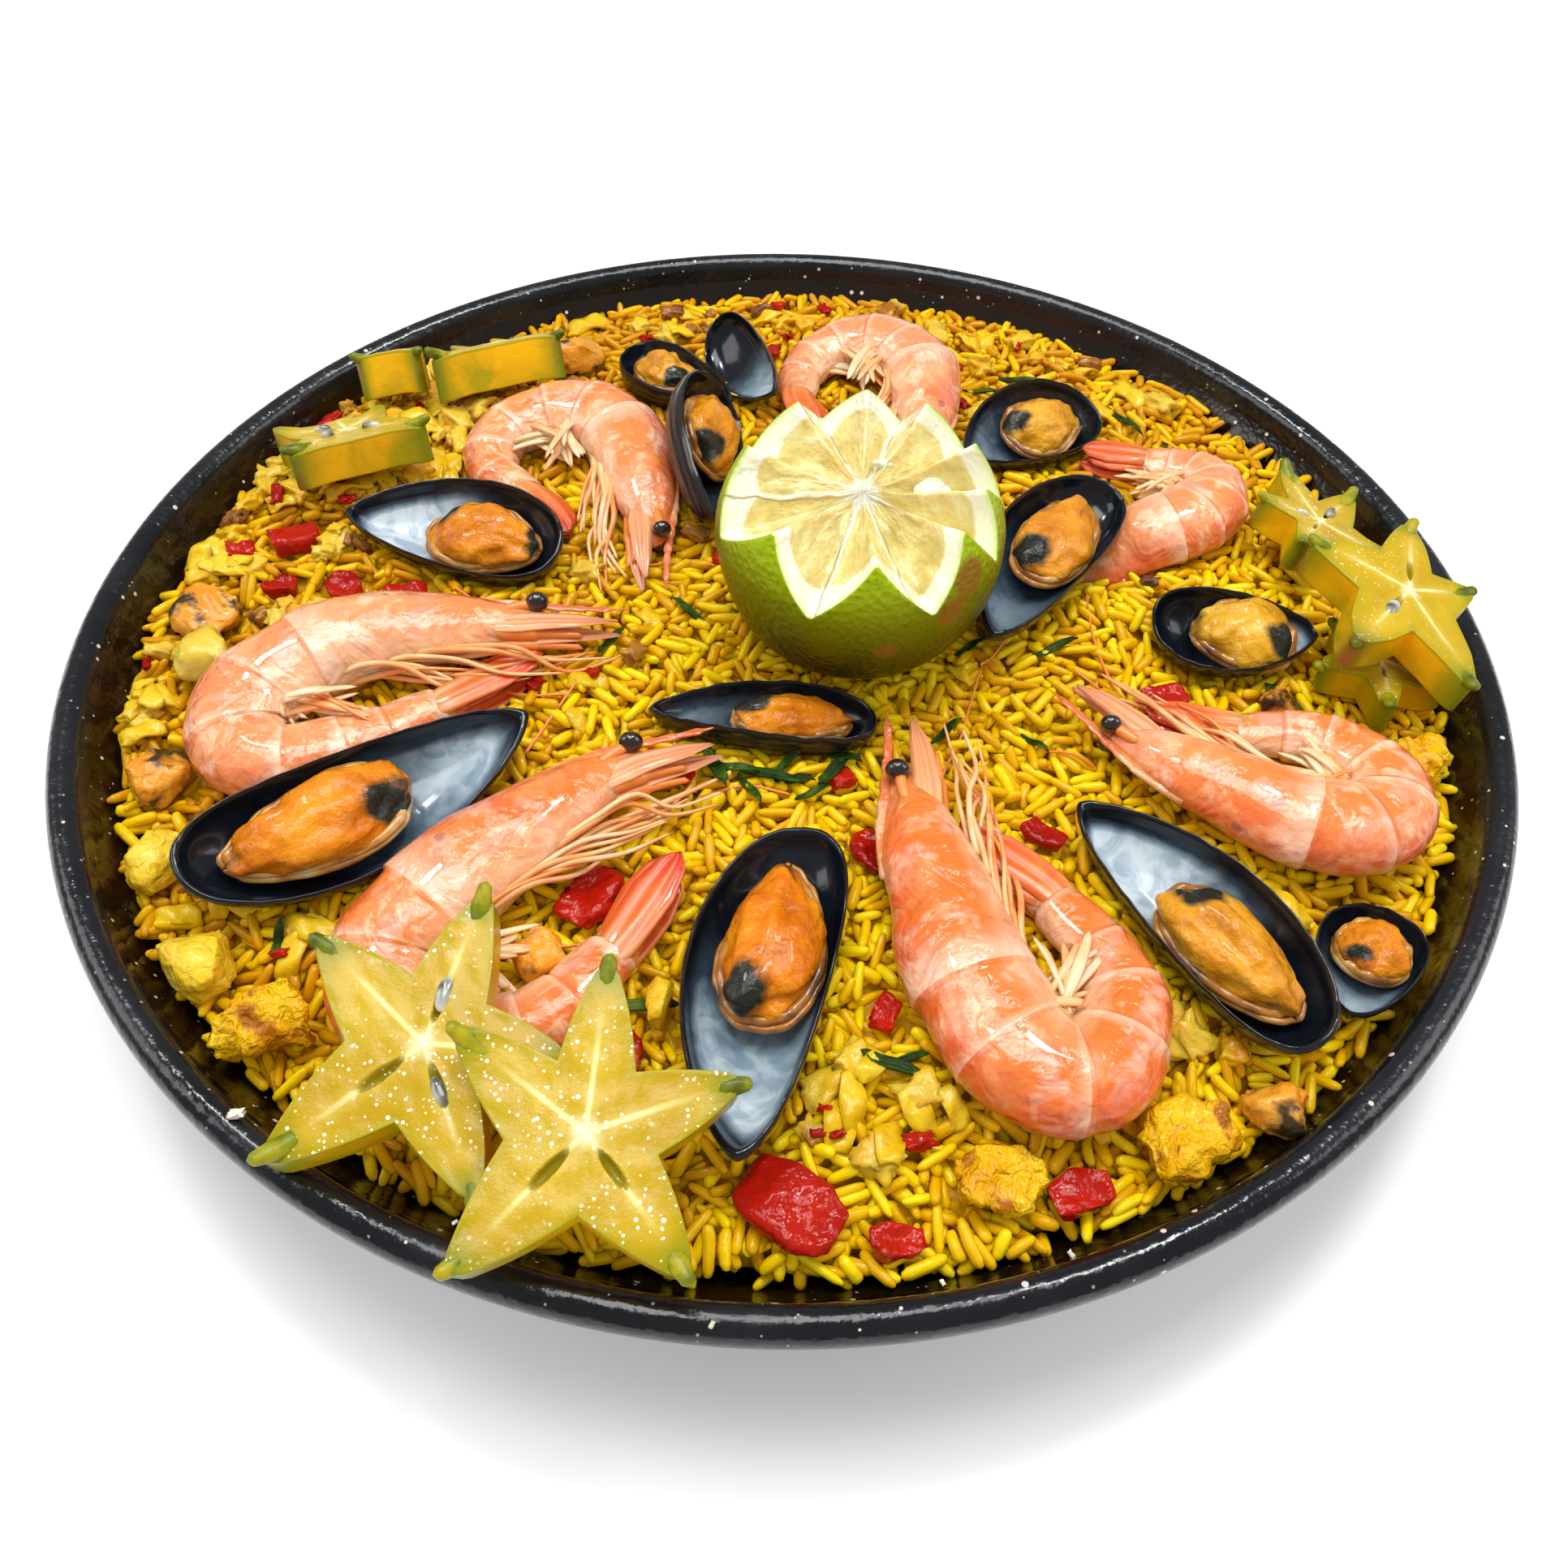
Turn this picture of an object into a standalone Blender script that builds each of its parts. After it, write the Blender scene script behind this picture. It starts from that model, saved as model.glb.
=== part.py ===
"""A seafood paella in its round enamelled steel pan.

The rice is one heap with a bed sunk in it for each piece that lies on top: whole prawns, mussels on
the half shell, slices of star fruit, a lime cut as a crown, and cooked vegetables and meat.
Lengths are millimetres until the last step, which scales every object to metres. +Z is up, the
viewer's side of the pan is -Y, and the origin is the middle of the pan's flat bottom.
"""
import math

import bmesh
import bpy
from mathutils import Matrix, Vector, noise

MM = 0.001
GAP = 0.35
BED_GAP = 0.5

# The pan
RIM_RADIUS = 160.0
PAN_HEIGHT = 40.0
BEAD_RADIUS = 3.5
SHEET = 1.5
FLOOR_RADIUS = 130.0
WALL_TOP_RADIUS = 152.0

# The rice
RICE_RADIUS = 149.0
RICE_CROWN = 35.5
RICE_EDGE = 30.5

# The lime
LIME_RADIUS = 31.0
LIME_CORE = 13.0
LIME_CUT = 12.0
LIME_TOOTH = 6.5
LIME_TIPS = (-137, -85, -38, -8, 22, 57, 88, 124, 163)

# Each prawn's middle line from the tip of its beak to its tail fan: x, y and height of its middle
PRAWNS = {
    "prawn_back": [(30, 50, 39), (33, 66, 41), (35, 84, 42), (33, 99, 42), (23, 109, 42),
                   (11, 108, 40), (3, 99, 39), (2, 86, 38), (7, 75, 38)],
    "prawn_upper_left": [(-31, 14, 39), (-33, 30, 41), (-37, 47, 42), (-42, 63, 42), (-51, 73, 42),
                         (-63, 74, 41), (-74, 67, 40), (-75, 54, 39), (-65, 45, 38), (-54, 33, 38)],
    "prawn_left": [(-40, -2, 41), (-54, -5, 43), (-70, -7, 43), (-88, -9, 43), (-103, -15, 42),
                   (-114, -27, 41), (-114, -39, 40), (-105, -44, 39), (-93, -39, 38), (-78, -30, 38),
                   (-57, -15, 40)],
    "prawn_lower_left": [(-16, -39, 42), (-32, -47, 43), (-48, -61, 43), (-63, -75, 41),
                         (-73, -90, 38), (-68, -103, 37), (-55, -107, 37), (-42, -103, 38),
                         (-31, -89, 39), (-22, -71, 41)],
    "prawn_front": [(25, -33, 42), (27, -57, 43), (31, -76, 43), (35, -94, 43), (43, -111, 43),
                    (55, -114, 42), (63, -102, 41), (61, -88, 40), (51, -73, 39), (38, -63, 40)],
    "prawn_right": [(62, -23, 42), (74, -37, 43), (90, -48, 43), (107, -58, 43), (120, -56, 42),
                    (124, -45, 41), (117, -34, 40), (105, -30, 39), (92, -29, 38), (80, -28, 40)],
    "prawn_upper_right": [(60, 20, 26), (72, 28, 30), (86, 34, 38), (98, 38, 41), (105, 46, 41),
                          (104, 55, 40), (96, 61, 39), (87, 62, 39), (78, 64, 39)],
}
PRAWN_LENGTH = 150.0
# Depth of the body, back to belly, along its length, for a prawn of PRAWN_LENGTH
PRAWN_DEPTH = [(0.0, 0.0), (0.05, 3.5), (0.13, 12.0), (0.22, 18.0), (0.33, 23.0), (0.46, 24.5),
               (0.57, 23.0), (0.67, 18.0), (0.77, 13.5), (0.86, 9.5), (0.93, 10.5), (0.98, 8.0),
               (1.0, 0.0)]
PRAWN_FLATNESS = 0.7

# Each mussel: beak x, y, broad end x, y, height of the shell's edge, width, depth, roll in degrees
# (left edge up), 1 with its meat and 0 empty
MUSSELS = {
    "mussel_back_left": ((-17, 82), (-44, 106), 41, 23, 9, 10, 1),
    "mussel_back_left_lid": ((-5, 80), (-22, 112), 44, 18, 6, -48, 0),
    "mussel_behind_lime": ((-18, 27), (-19, 79), 48, 27, 10, 58, 1),
    "mussel_back_right": ((44, 61), (79, 84), 42, 26, 9, 12, 1),
    "mussel_beside_lime": ((44, -9), (76, 45), 47, 25, 10, 8, 1),
    "mussel_right": ((119, -6), (82, -3), 42, 22, 9, -10, 1),
    "mussel_lower_right": ((61, -53), (98, -107), 44, 25, 11, 6, 1),
    "mussel_front": ((-8, -132), (3, -62), 44, 28, 11, -4, 1),
    "mussel_left": ((-52, -37), (-113, -80), 46, 28, 11, -15, 1),
    "mussel_upper_left": ((-106, 34), (-53, 21), 43, 27, 10, 12, 1),
    "mussel_middle": ((-29, -27), (20, -30), 41, 20, 8, -12, 1),
    "mussel_small": ((104, -99), (118, -76), 40, 20, 7, 0, 1),
}

# Each slice of star fruit: middle x, y and height, thickness, tilt in degrees, the direction it tilts
# down to, how deep its notches go, and its tips as angle and reach
STARS = {
    "star_slice_front_left": ((-59, -116, 49.5), 7.0, 12, -90, 0.46,
                              [(76, 29), (138, 28), (219, 31), (295, 28), (356, 24)]),
    "star_slice_front": ((-30, -133, 53.5), 7.0, 16, -75, 0.46,
                         [(87, 28), (145, 27), (229, 29), (310, 27), (21, 26)]),
    "star_slice_right": ((136, 0, 52.0), 8.0, 12, 0, 0.5,
                         [(74, 25), (150, 23), (229, 28), (285, 28), (12, 17)]),
    "star_slice_right_under": ((132, -10, 38.0), 8.0, 0, 0, 0.5,
                               [(40, 15), (120, 14), (190, 14), (265, 14), (330, 15)]),
    "star_slice_upper_right": ((126, 32, 42.5), 8.0, 16, 20, 0.5,
                               [(100, 22), (165, 15), (235, 15), (325, 17), (50, 21)]),
    "star_slice_upper_left": ((-109, 54, 46.0), 9.0, 20, 115, 0.6,
                              [(232, 17), (352, 21), (62, 13), (122, 13), (176, 19)]),
    "star_slice_back_left": ((-79, 93, 43.0), 11.0, 32, 107, 0.6,
                             [(220, 18), (352, 19), (60, 12), (115, 13), (168, 12)]),
    "star_slice_far_left": ((-104, 88, 43.0), 11.0, 32, 107, 0.6,
                            [(222, 11), (335, 8), (45, 8), (105, 9), (168, 9)]),
}
STAR_TIP = 2.2

# Lumps of chicken, squid, potato, onion and loose mussel meat: x, y, height, half sizes, turn in degrees
LUMPS = {
    "chicken_front_right": ((72, -123, 36), (10, 7, 6), 35),
    "chicken_front": ((38, -131, 35), (9, 6, 5), 5),
    "chicken_left": ((-93, -104, 36), (10, 8, 6), 40),
    "potato_left": ((-109, -91, 36), (9, 7, 5), -30),
    "potato_left_high": ((-125, -67, 36), (6, 9, 5), -10),
    "squash_middle": ((-20, -99, 37), (5, 7, 5), 0),
    "onion_left": ((-130, -11, 35), (8, 8, 6), 20),
    "mussel_meat_back": ((-60, 106, 38), (9, 6, 5), 15),
    "mussel_meat_left": ((-135, 5, 34), (8, 8, 5), 60),
    "mussel_meat_lower_left": ((-131, -45, 35), (8, 6, 5), 50),
    "mussel_meat_middle": ((-45, -89, 38), (5, 5, 4), 40),
    "mussel_meat_right": ((109, -19, 36), (4, 4, 4), 0),
    "mussel_meat_lower_right": ((89, -116, 35), (6, 5, 4), -35),
    "chicken_right": ((137, -33, 35), (6, 6, 5), 0),
}

# Strips of red pepper: x, y, height, length, width, thickness, turn, bend in degrees
PEPPERS = {
    "pepper_front": ((3, -136, 38), 20, 14, 3.0, -35, 50),
    "pepper_front_right": ((53, -132, 36), 12, 8, 3.0, 20, 30),
    "pepper_front_mid": ((21, -141, 35), 11, 6, 3.0, 8, 30),
    "pepper_by_prawn": ((20, -99, 37), 7, 6, 3.0, 60, 20),
    "pepper_by_mussel": ((19, -62, 38), 10, 7, 3.0, -60, 40),
    "pepper_right": ((53, -56, 38), 11, 5, 2.5, -35, 30),
    "pepper_curl": ((84, -18, 39), 15, 7, 2.5, 15, 80),
    "pepper_lower_left": ((-37, -75, 40), 15, 10, 3.0, 55, 50),
    "pepper_under_star": ((-27, -107, 37), 10, 4, 2.5, -75, 20),
    "pepper_upper_left": ((-121, 33, 36), 11, 9, 4.0, 30, 30),
    "pepper_left_a": ((-120, 15, 36), 8, 6, 4.0, 10, 20),
    "pepper_left_b": ((-104, 14, 37), 10, 8, 4.0, -20, 30),
    "pepper_left_c": ((-90, 10, 37), 15, 8, 3.5, 10, 40),
}

COLOURS = {
    "enamel": (0.012, 0.012, 0.014, 1.0, 0.25),
    "rice": (0.72, 0.42, 0.02, 1.0, 0.45),
    "prawn": (0.85, 0.30, 0.14, 1.0, 0.3),
    "mussel": (0.02, 0.025, 0.04, 1.0, 0.25),
    "star_fruit": (0.75, 0.56, 0.08, 1.0, 0.3),
    "lime": (0.22, 0.38, 0.02, 1.0, 0.35),
    "meat": (0.75, 0.42, 0.08, 1.0, 0.4),
    "pepper": (0.55, 0.03, 0.01, 1.0, 0.25),
}


def finish(name):
    """The material of one finish, made once."""
    material = bpy.data.materials.get(name)
    if material is None:
        red, green, blue, alpha, roughness = COLOURS[name]
        material = bpy.data.materials.new(name)
        material.use_nodes = True
        shader = material.node_tree.nodes["Principled BSDF"]
        shader.inputs["Base Color"].default_value = (red, green, blue, alpha)
        shader.inputs["Roughness"].default_value = roughness
        shader.inputs["Metallic"].default_value = 0.0
    return material


def put(bm, name, collection, material):
    """Turns a bmesh into a named object with smooth sides and one material."""
    bmesh.ops.recalc_face_normals(bm, faces=bm.faces)
    if bm.calc_volume(signed=True) < 0.0:
        bmesh.ops.reverse_faces(bm, faces=bm.faces)
    mesh = bpy.data.meshes.new(name)
    bm.to_mesh(mesh)
    bm.free()
    mesh.materials.append(finish(material))
    mesh.shade_smooth()
    piece = bpy.data.objects.new(name, mesh)
    collection.objects.link(piece)
    return piece


def wrapped(segments, rings, place):
    """A closed ball whose points move to place(around, down), with both arguments from 0 to 1."""
    bm = bmesh.new()
    bmesh.ops.create_uvsphere(bm, u_segments=segments, v_segments=rings, radius=1.0)
    for vertex in bm.verts:
        down = math.acos(max(-1.0, min(1.0, vertex.co.z))) / math.pi
        around = (math.atan2(vertex.co.y, vertex.co.x) / math.tau) % 1.0
        vertex.co = place(around, down)
    return bm


def between(table, t):
    """Reads a table of (position, value) pairs, with a straight line from each pair to the next."""
    for (t0, v0), (t1, v1) in zip(table, table[1:]):
        if t <= t1:
            k = (t - t0) / (t1 - t0)
            return v0 + (v1 - v0) * k
    return table[-1][1]


def along(route, t):
    """The point at the share t of a smooth curve through the route's points."""
    spans = [(Vector(b) - Vector(a)).length for a, b in zip(route, route[1:])]
    reach = t * sum(spans)
    i = 0
    while i < len(spans) - 1 and reach > spans[i]:
        reach -= spans[i]
        i += 1
    k = min(1.0, reach / spans[i])
    p1, p2 = Vector(route[i]), Vector(route[i + 1])
    p0 = Vector(route[i - 1]) if i else p1 * 2 - p2
    p3 = Vector(route[i + 2]) if i + 2 < len(route) else p2 * 2 - p1
    return ((p1 * 2) + (p2 - p0) * k + (p0 * 2 - p1 * 5 + p2 * 4 - p3) * k ** 2
            + (p1 * 3 - p0 - p2 * 3 + p3) * k ** 3) * 0.5


def rice_height(x, y):
    """The top of the rice: nearly flat in the middle, lower and rounder at the edge, with soft bumps."""
    share = min(1.0, math.hypot(x, y) / RICE_RADIUS)
    bump = noise.noise(Vector((x / 21.0, y / 21.0, 3.0)))
    return RICE_CROWN - (RICE_CROWN - RICE_EDGE) * share ** 4 + 0.8 * bump


def make_pan(collection):
    """A turned pan: flat floor, sides that slope out, and a rolled bead for a rim."""
    bead_height = PAN_HEIGHT - BEAD_RADIUS
    bead_middle = RIM_RADIUS - BEAD_RADIUS
    profile = [(0.0, SHEET), (FLOOR_RADIUS - 4.0, SHEET), (FLOOR_RADIUS + 1.0, SHEET + 1.2)]
    profile.append((WALL_TOP_RADIUS, bead_height - 2.4))
    for degrees in (170, 118, 66, 14, -38, -90):
        turn = math.radians(degrees)
        out, lift = BEAD_RADIUS * math.cos(turn), BEAD_RADIUS * math.sin(turn)
        profile.append((bead_middle + out, bead_height + lift))
    profile += [(WALL_TOP_RADIUS + SHEET, bead_height - 4.2), (FLOOR_RADIUS + 2.0, 1.4)]
    profile += [(FLOOR_RADIUS - 2.5, 0.0), (0.0, 0.0)]
    mesh = bpy.data.meshes.new("pan")
    mesh.from_pydata([(r, 0.0, z) for r, z in profile], [(i, i + 1) for i in range(len(profile) - 1)], [])
    mesh.materials.append(finish("enamel"))
    pan = bpy.data.objects.new("pan", mesh)
    collection.objects.link(pan)
    screw = pan.modifiers.new("turn", "SCREW")
    screw.steps = 48
    screw.render_steps = 48
    screw.use_merge_vertices = True
    screw.merge_threshold = 0.0001
    return pan


def make_lime(collection):
    """A lime cut all round in zigzags, so that its flesh rises to nine points."""
    middle = Vector((15.5, 3.0, RICE_CROWN + LIME_RADIUS - 3.0))
    lean = Matrix.Rotation(math.radians(7), 4, "X")
    skin_share = 0.7

    def place(around, down):
        tooth = around * len(LIME_TIPS)
        tip = int(tooth) % len(LIME_TIPS)
        share = tooth - int(tooth)
        gap = (LIME_TIPS[(tip + 1) % len(LIME_TIPS)] - LIME_TIPS[tip]) % 360
        turn = math.radians(LIME_TIPS[tip] + gap * share)
        edge = LIME_CUT + LIME_TOOTH * (4.0 * abs(share - 0.5) - 1.0)
        top = math.acos(edge / LIME_RADIUS)
        if down > 1.0 - skin_share:
            polar = top + (math.pi - top) * (down - 1.0 + skin_share) / skin_share
            radius, height = LIME_RADIUS * math.sin(polar), LIME_RADIUS * math.cos(polar)
        else:
            share = down / (1.0 - skin_share)
            radius = LIME_RADIUS * math.sin(top) * share
            height = LIME_CORE + (edge - LIME_CORE) * share
        return middle + lean @ Vector((radius * math.cos(turn), radius * math.sin(turn), height))

    return put(wrapped(4 * len(LIME_TIPS), 7, place), "lime", collection, "lime")


def make_prawn(name, route, collection):
    """A whole cooked prawn on its side: a body that follows its curled middle line."""
    size = sum((Vector(b) - Vector(a)).length for a, b in zip(route, route[1:])) / PRAWN_LENGTH
    size = min(1.0, max(0.86, size))

    def place(around, down):
        t = down
        here, ahead = along(route, max(0.0, t - 0.01)), along(route, min(1.0, t + 0.01))
        forward = (ahead - here).normalized()
        back_side = forward.cross(Vector((0, 0, 1))).normalized()
        upward = back_side.cross(forward)
        half = 0.5 * size * between(PRAWN_DEPTH, t)
        turn = around * math.tau
        flat = PRAWN_FLATNESS * (1.0 if t < 0.8 else 1.0 - 1.6 * (t - 0.8))
        return along(route, t) + back_side * half * math.cos(turn) + upward * half * flat * math.sin(turn)

    return put(wrapped(8, 13, place), name, collection, "prawn")


def mussel_outline(around, length, width):
    """The edge of a shell, from its pointed beak at x = 0 to its round end at x = length."""
    turn = around * math.tau
    x = 0.5 * length * (1.0 - math.cos(turn))
    share = x / length
    half = 0.5 * width * (share ** 0.8) * ((1.0 - share) ** 0.42) / 0.456
    return Vector((x, half if math.sin(turn) >= 0 else -half, 0.0))


def make_mussel(name, spec, collection):
    """Half a mussel shell like a boat, filled by its meat near the broad end."""
    beak, end, height, width, depth, roll, full = spec
    start, stop = Vector((*beak, height)), Vector((*end, height))
    length = (stop - start).length
    heading = math.atan2(stop.y - start.y, stop.x - start.x)
    seat = Matrix.Translation(start) @ Matrix.Rotation(heading, 4, "Z")
    seat = seat @ Matrix.Rotation(math.radians(roll), 4, "X")
    middle = Vector((0.58 * length, 0.0, 0.0))

    def place(around, down):
        edge = mussel_outline(around, length, width)
        spread = math.sin(math.pi * down)
        flat = middle + (edge - middle) * spread
        if down > 0.5:
            flat.z = -depth * math.sqrt(max(0.0, 1.0 - spread ** 2.4))
            return seat @ flat
        hollow = -(depth - 2.0) * max(0.0, 1.0 - spread ** 2.4)
        meat_x, meat_y = (flat.x - 0.62 * length) / (0.26 * length), flat.y / (0.36 * width)
        bulge = 1.0 - meat_x ** 2 - meat_y ** 2
        if full and bulge > 0.0:
            hollow = max(hollow, -2.0 + 3.5 * math.sqrt(bulge))
        flat.z = hollow
        return seat @ flat

    return put(wrapped(12, 6, place), name, collection, "mussel")


def make_star(name, spec, collection):
    """A slice across a five-ribbed fruit: an extruded star with blunt tips."""
    middle, thickness, tilt, towards, waist, tips = spec
    outline = []
    for i, (angle, reach) in enumerate(tips):
        next_angle, next_reach = tips[(i + 1) % len(tips)]
        turn = math.radians(angle)
        blunt = STAR_TIP / reach
        outline.append((turn - blunt, reach))
        outline.append((turn + blunt, reach))
        gap = math.radians((next_angle - angle) % 360)
        outline.append((turn + 0.5 * gap, waist * 0.5 * (reach + next_reach)))
    bm = bmesh.new()
    bmesh.ops.create_circle(bm, cap_ends=True, segments=len(outline), radius=1.0)
    bm.verts.ensure_lookup_table()
    for vertex, (turn, reach) in zip(bm.verts, outline):
        vertex.co = Vector((reach * math.cos(turn), reach * math.sin(turn), -0.5 * thickness))
    top = bmesh.ops.extrude_face_region(bm, geom=bm.faces[:])
    lifted = [item for item in top["geom"] if isinstance(item, bmesh.types.BMVert)]
    bmesh.ops.translate(bm, verts=lifted, vec=(0, 0, thickness))
    lean = Vector((-math.sin(math.radians(towards)), math.cos(math.radians(towards)), 0.0))
    seat = Matrix.Translation(middle) @ Matrix.Rotation(math.radians(tilt), 4, lean)
    bmesh.ops.transform(bm, matrix=seat, verts=bm.verts)
    bmesh.ops.triangulate(bm, faces=bm.faces)
    return put(bm, name, collection, "star_fruit")


def make_lump(name, spec, collection):
    """A cooked piece with a soft, uneven surface."""
    middle, half, turn = spec
    bm = bmesh.new()
    bmesh.ops.create_icosphere(bm, subdivisions=2, radius=1.0)
    seed = Vector(middle) * 0.37
    for vertex in bm.verts:
        swell = 1.0 + 0.16 * noise.noise(vertex.co * 1.4 + seed)
        squared = [math.copysign(abs(c) ** 0.85, c) for c in vertex.co]
        vertex.co = Vector([swell * size * c for size, c in zip(half, squared)])
    seat = Matrix.Translation(middle) @ Matrix.Rotation(math.radians(turn), 4, "Z")
    bmesh.ops.transform(bm, matrix=seat, verts=bm.verts)
    return put(bm, name, collection, "meat")


def make_pepper(name, spec, collection):
    """A strip of pepper, arched along its length."""
    middle, length, width, thickness, turn, bend = spec
    bm = bmesh.new()
    bmesh.ops.create_grid(bm, x_segments=3, y_segments=2, size=0.5)
    arch = math.radians(bend)
    for vertex in bm.verts:
        angle = vertex.co.x * arch
        radius = length / arch
        taper = 1.0 - 1.1 * vertex.co.x ** 2
        lift = radius * (math.cos(angle) - 1.0)
        vertex.co = Vector((radius * math.sin(angle), vertex.co.y * width * taper, lift))
    bmesh.ops.recalc_face_normals(bm, faces=bm.faces)
    bmesh.ops.solidify(bm, geom=bm.faces[:], thickness=thickness)
    seat = Matrix.Translation(middle) @ Matrix.Rotation(math.radians(turn), 4, "Z")
    bmesh.ops.transform(bm, matrix=seat, verts=bm.verts)
    return put(bm, name, collection, "pepper")


def make_rice(collection, cutters, toppings):
    """The heap of rice, with a bed cut in it for each topping."""
    wall_run = (WALL_TOP_RADIUS - FLOOR_RADIUS - 1.0) / (PAN_HEIGHT - BEAD_RADIUS - 2.4 - SHEET - 1.2)
    bottom = SHEET + GAP

    def wall(height):
        return FLOOR_RADIUS + 1.0 + wall_run * max(0.0, height - SHEET - 1.2) - 1.0

    profile = [(0.0, RICE_CROWN)] + [(r, RICE_CROWN) for r in (28, 54, 78, 100, 120, 134)]
    profile += [(RICE_RADIUS - 4.0, RICE_CROWN), (wall(RICE_EDGE - 3.5), RICE_EDGE - 3.5)]
    profile += [(wall(15.0), 15.0), (FLOOR_RADIUS - 4.0, bottom), (0.0, bottom)]
    mesh = bpy.data.meshes.new("rice_blank")
    mesh.from_pydata([(r, 0.0, z) for r, z in profile], [(i, i + 1) for i in range(len(profile) - 1)], [])
    blank = bpy.data.objects.new("rice_blank", mesh)
    cutters.objects.link(blank)
    screw = blank.modifiers.new("turn", "SCREW")
    screw.steps = 36
    screw.render_steps = 36
    screw.use_merge_vertices = True
    screw.merge_threshold = 0.0001
    heap = bpy.data.meshes.new_from_object(blank.evaluated_get(bpy.context.evaluated_depsgraph_get()))
    bpy.data.objects.remove(blank)
    for vertex in heap.vertices:
        x, y, z = vertex.co
        if z > 20.0:
            uneven = 1.0 - 0.008 * (1.0 + noise.noise(Vector((x / 26.0, y / 26.0, 9.0))))
            front_left = max(0.0, -(0.4 * x + 0.92 * y) / max(1.0, math.hypot(x, y)))
            uneven -= 0.022 * front_left ** 8
            x, y = x * uneven, y * uneven
            z = rice_height(x, y) - (RICE_CROWN - z if z < RICE_CROWN - 1.0 else 0.0) * 0.6
        vertex.co = (x, y, z)
    rice = bpy.data.objects.new("rice_blank", heap)
    cutters.objects.link(rice)
    for topping in toppings:
        bm = bmesh.new()
        bm.from_mesh(topping.data)
        bm.normal_update()
        grown = [vertex.co + vertex.normal * BED_GAP for vertex in bm.verts]
        for vertex, co in zip(bm.verts, grown):
            vertex.co = co
        bed = put(bm, "bed_" + topping.name, cutters, "rice")
        bed.hide_render = True
        bed.display_type = "WIRE"
        cut = rice.modifiers.new(bed.name, "BOOLEAN")
        cut.operation = "DIFFERENCE"
        cut.solver = "EXACT"
        cut.object = bed
    cut_mesh = bpy.data.meshes.new_from_object(rice.evaluated_get(bpy.context.evaluated_depsgraph_get()))
    bpy.data.objects.remove(rice)
    bm = bmesh.new()
    bm.from_mesh(cut_mesh)
    bmesh.ops.remove_doubles(bm, verts=bm.verts, dist=0.001)
    bmesh.ops.dissolve_degenerate(bm, edges=bm.edges, dist=0.001)
    drop_crumbs(bm)
    bmesh.ops.triangulate(bm, faces=bm.faces)
    return put(bm, "rice", collection, "rice")


def drop_crumbs(bm):
    """Keeps the largest connected part of a mesh: slivers cut loose between two beds go."""
    unseen = set(bm.verts)
    groups = []
    while unseen:
        stack = [unseen.pop()]
        group = set(stack)
        while stack:
            for edge in stack.pop().link_edges:
                for vertex in edge.verts:
                    if vertex in unseen:
                        unseen.discard(vertex)
                        group.add(vertex)
                        stack.append(vertex)
        groups.append(group)
    groups.sort(key=len)
    for group in groups[:-1]:
        bmesh.ops.delete(bm, geom=list(group), context="VERTS")


for old in list(bpy.data.objects):
    bpy.data.objects.remove(old, do_unlink=True)

paella = bpy.data.collections.new("paella")
beds = bpy.data.collections.new("beds")
bpy.context.scene.collection.children.link(paella)
bpy.context.scene.collection.children.link(beds)

make_pan(paella)
toppings = [make_lime(paella)]
toppings += [make_prawn(name, route, paella) for name, route in PRAWNS.items()]
toppings += [make_mussel(name, spec, paella) for name, spec in MUSSELS.items()]
toppings += [make_star(name, spec, paella) for name, spec in STARS.items()]
toppings += [make_lump(name, spec, paella) for name, spec in LUMPS.items()]
toppings += [make_pepper(name, spec, paella) for name, spec in PEPPERS.items()]
make_rice(paella, beds, toppings)

for piece in list(paella.objects) + list(beds.objects):
    piece.data.transform(Matrix.Scale(MM, 4))
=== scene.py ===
"""The looks of a seafood paella in its enamelled pan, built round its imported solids.

The sections follow the dish as it is put together: the pan, the rice with what is mixed into it,
the pieces of meat and pepper, the mussels, the prawns, the star fruit and the lime.
"""
import math

import bmesh
import bpy
import numpy as np
from mathutils import Matrix, Vector, noise
from mathutils.bvhtree import BVHTree


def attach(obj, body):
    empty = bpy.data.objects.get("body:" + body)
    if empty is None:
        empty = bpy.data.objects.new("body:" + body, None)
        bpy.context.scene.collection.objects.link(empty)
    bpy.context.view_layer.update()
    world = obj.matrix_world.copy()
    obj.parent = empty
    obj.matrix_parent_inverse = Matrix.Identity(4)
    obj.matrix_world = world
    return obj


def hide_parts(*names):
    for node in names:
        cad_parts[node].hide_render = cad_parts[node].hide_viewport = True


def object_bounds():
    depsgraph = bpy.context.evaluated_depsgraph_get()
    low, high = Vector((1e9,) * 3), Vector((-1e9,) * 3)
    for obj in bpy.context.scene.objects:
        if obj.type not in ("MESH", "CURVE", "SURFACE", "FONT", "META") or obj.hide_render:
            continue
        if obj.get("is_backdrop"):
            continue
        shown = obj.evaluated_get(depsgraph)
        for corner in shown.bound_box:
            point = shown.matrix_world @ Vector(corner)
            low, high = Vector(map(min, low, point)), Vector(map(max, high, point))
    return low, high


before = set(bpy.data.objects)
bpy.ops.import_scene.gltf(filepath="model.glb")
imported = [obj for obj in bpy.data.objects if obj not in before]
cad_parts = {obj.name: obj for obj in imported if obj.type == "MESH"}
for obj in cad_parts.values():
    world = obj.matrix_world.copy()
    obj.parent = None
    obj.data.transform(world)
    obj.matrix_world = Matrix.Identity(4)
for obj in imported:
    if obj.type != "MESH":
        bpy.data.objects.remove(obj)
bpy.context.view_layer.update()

MM = 0.001
scene = bpy.context.scene

# ---------------------------------------------------------------------------------------------
# The table and the light. A white table top, a large soft lamp nearly overhead, two small lamps
# for crisp glints, weaker ones that fill from the front and the sides, and a white room all round.

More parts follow.
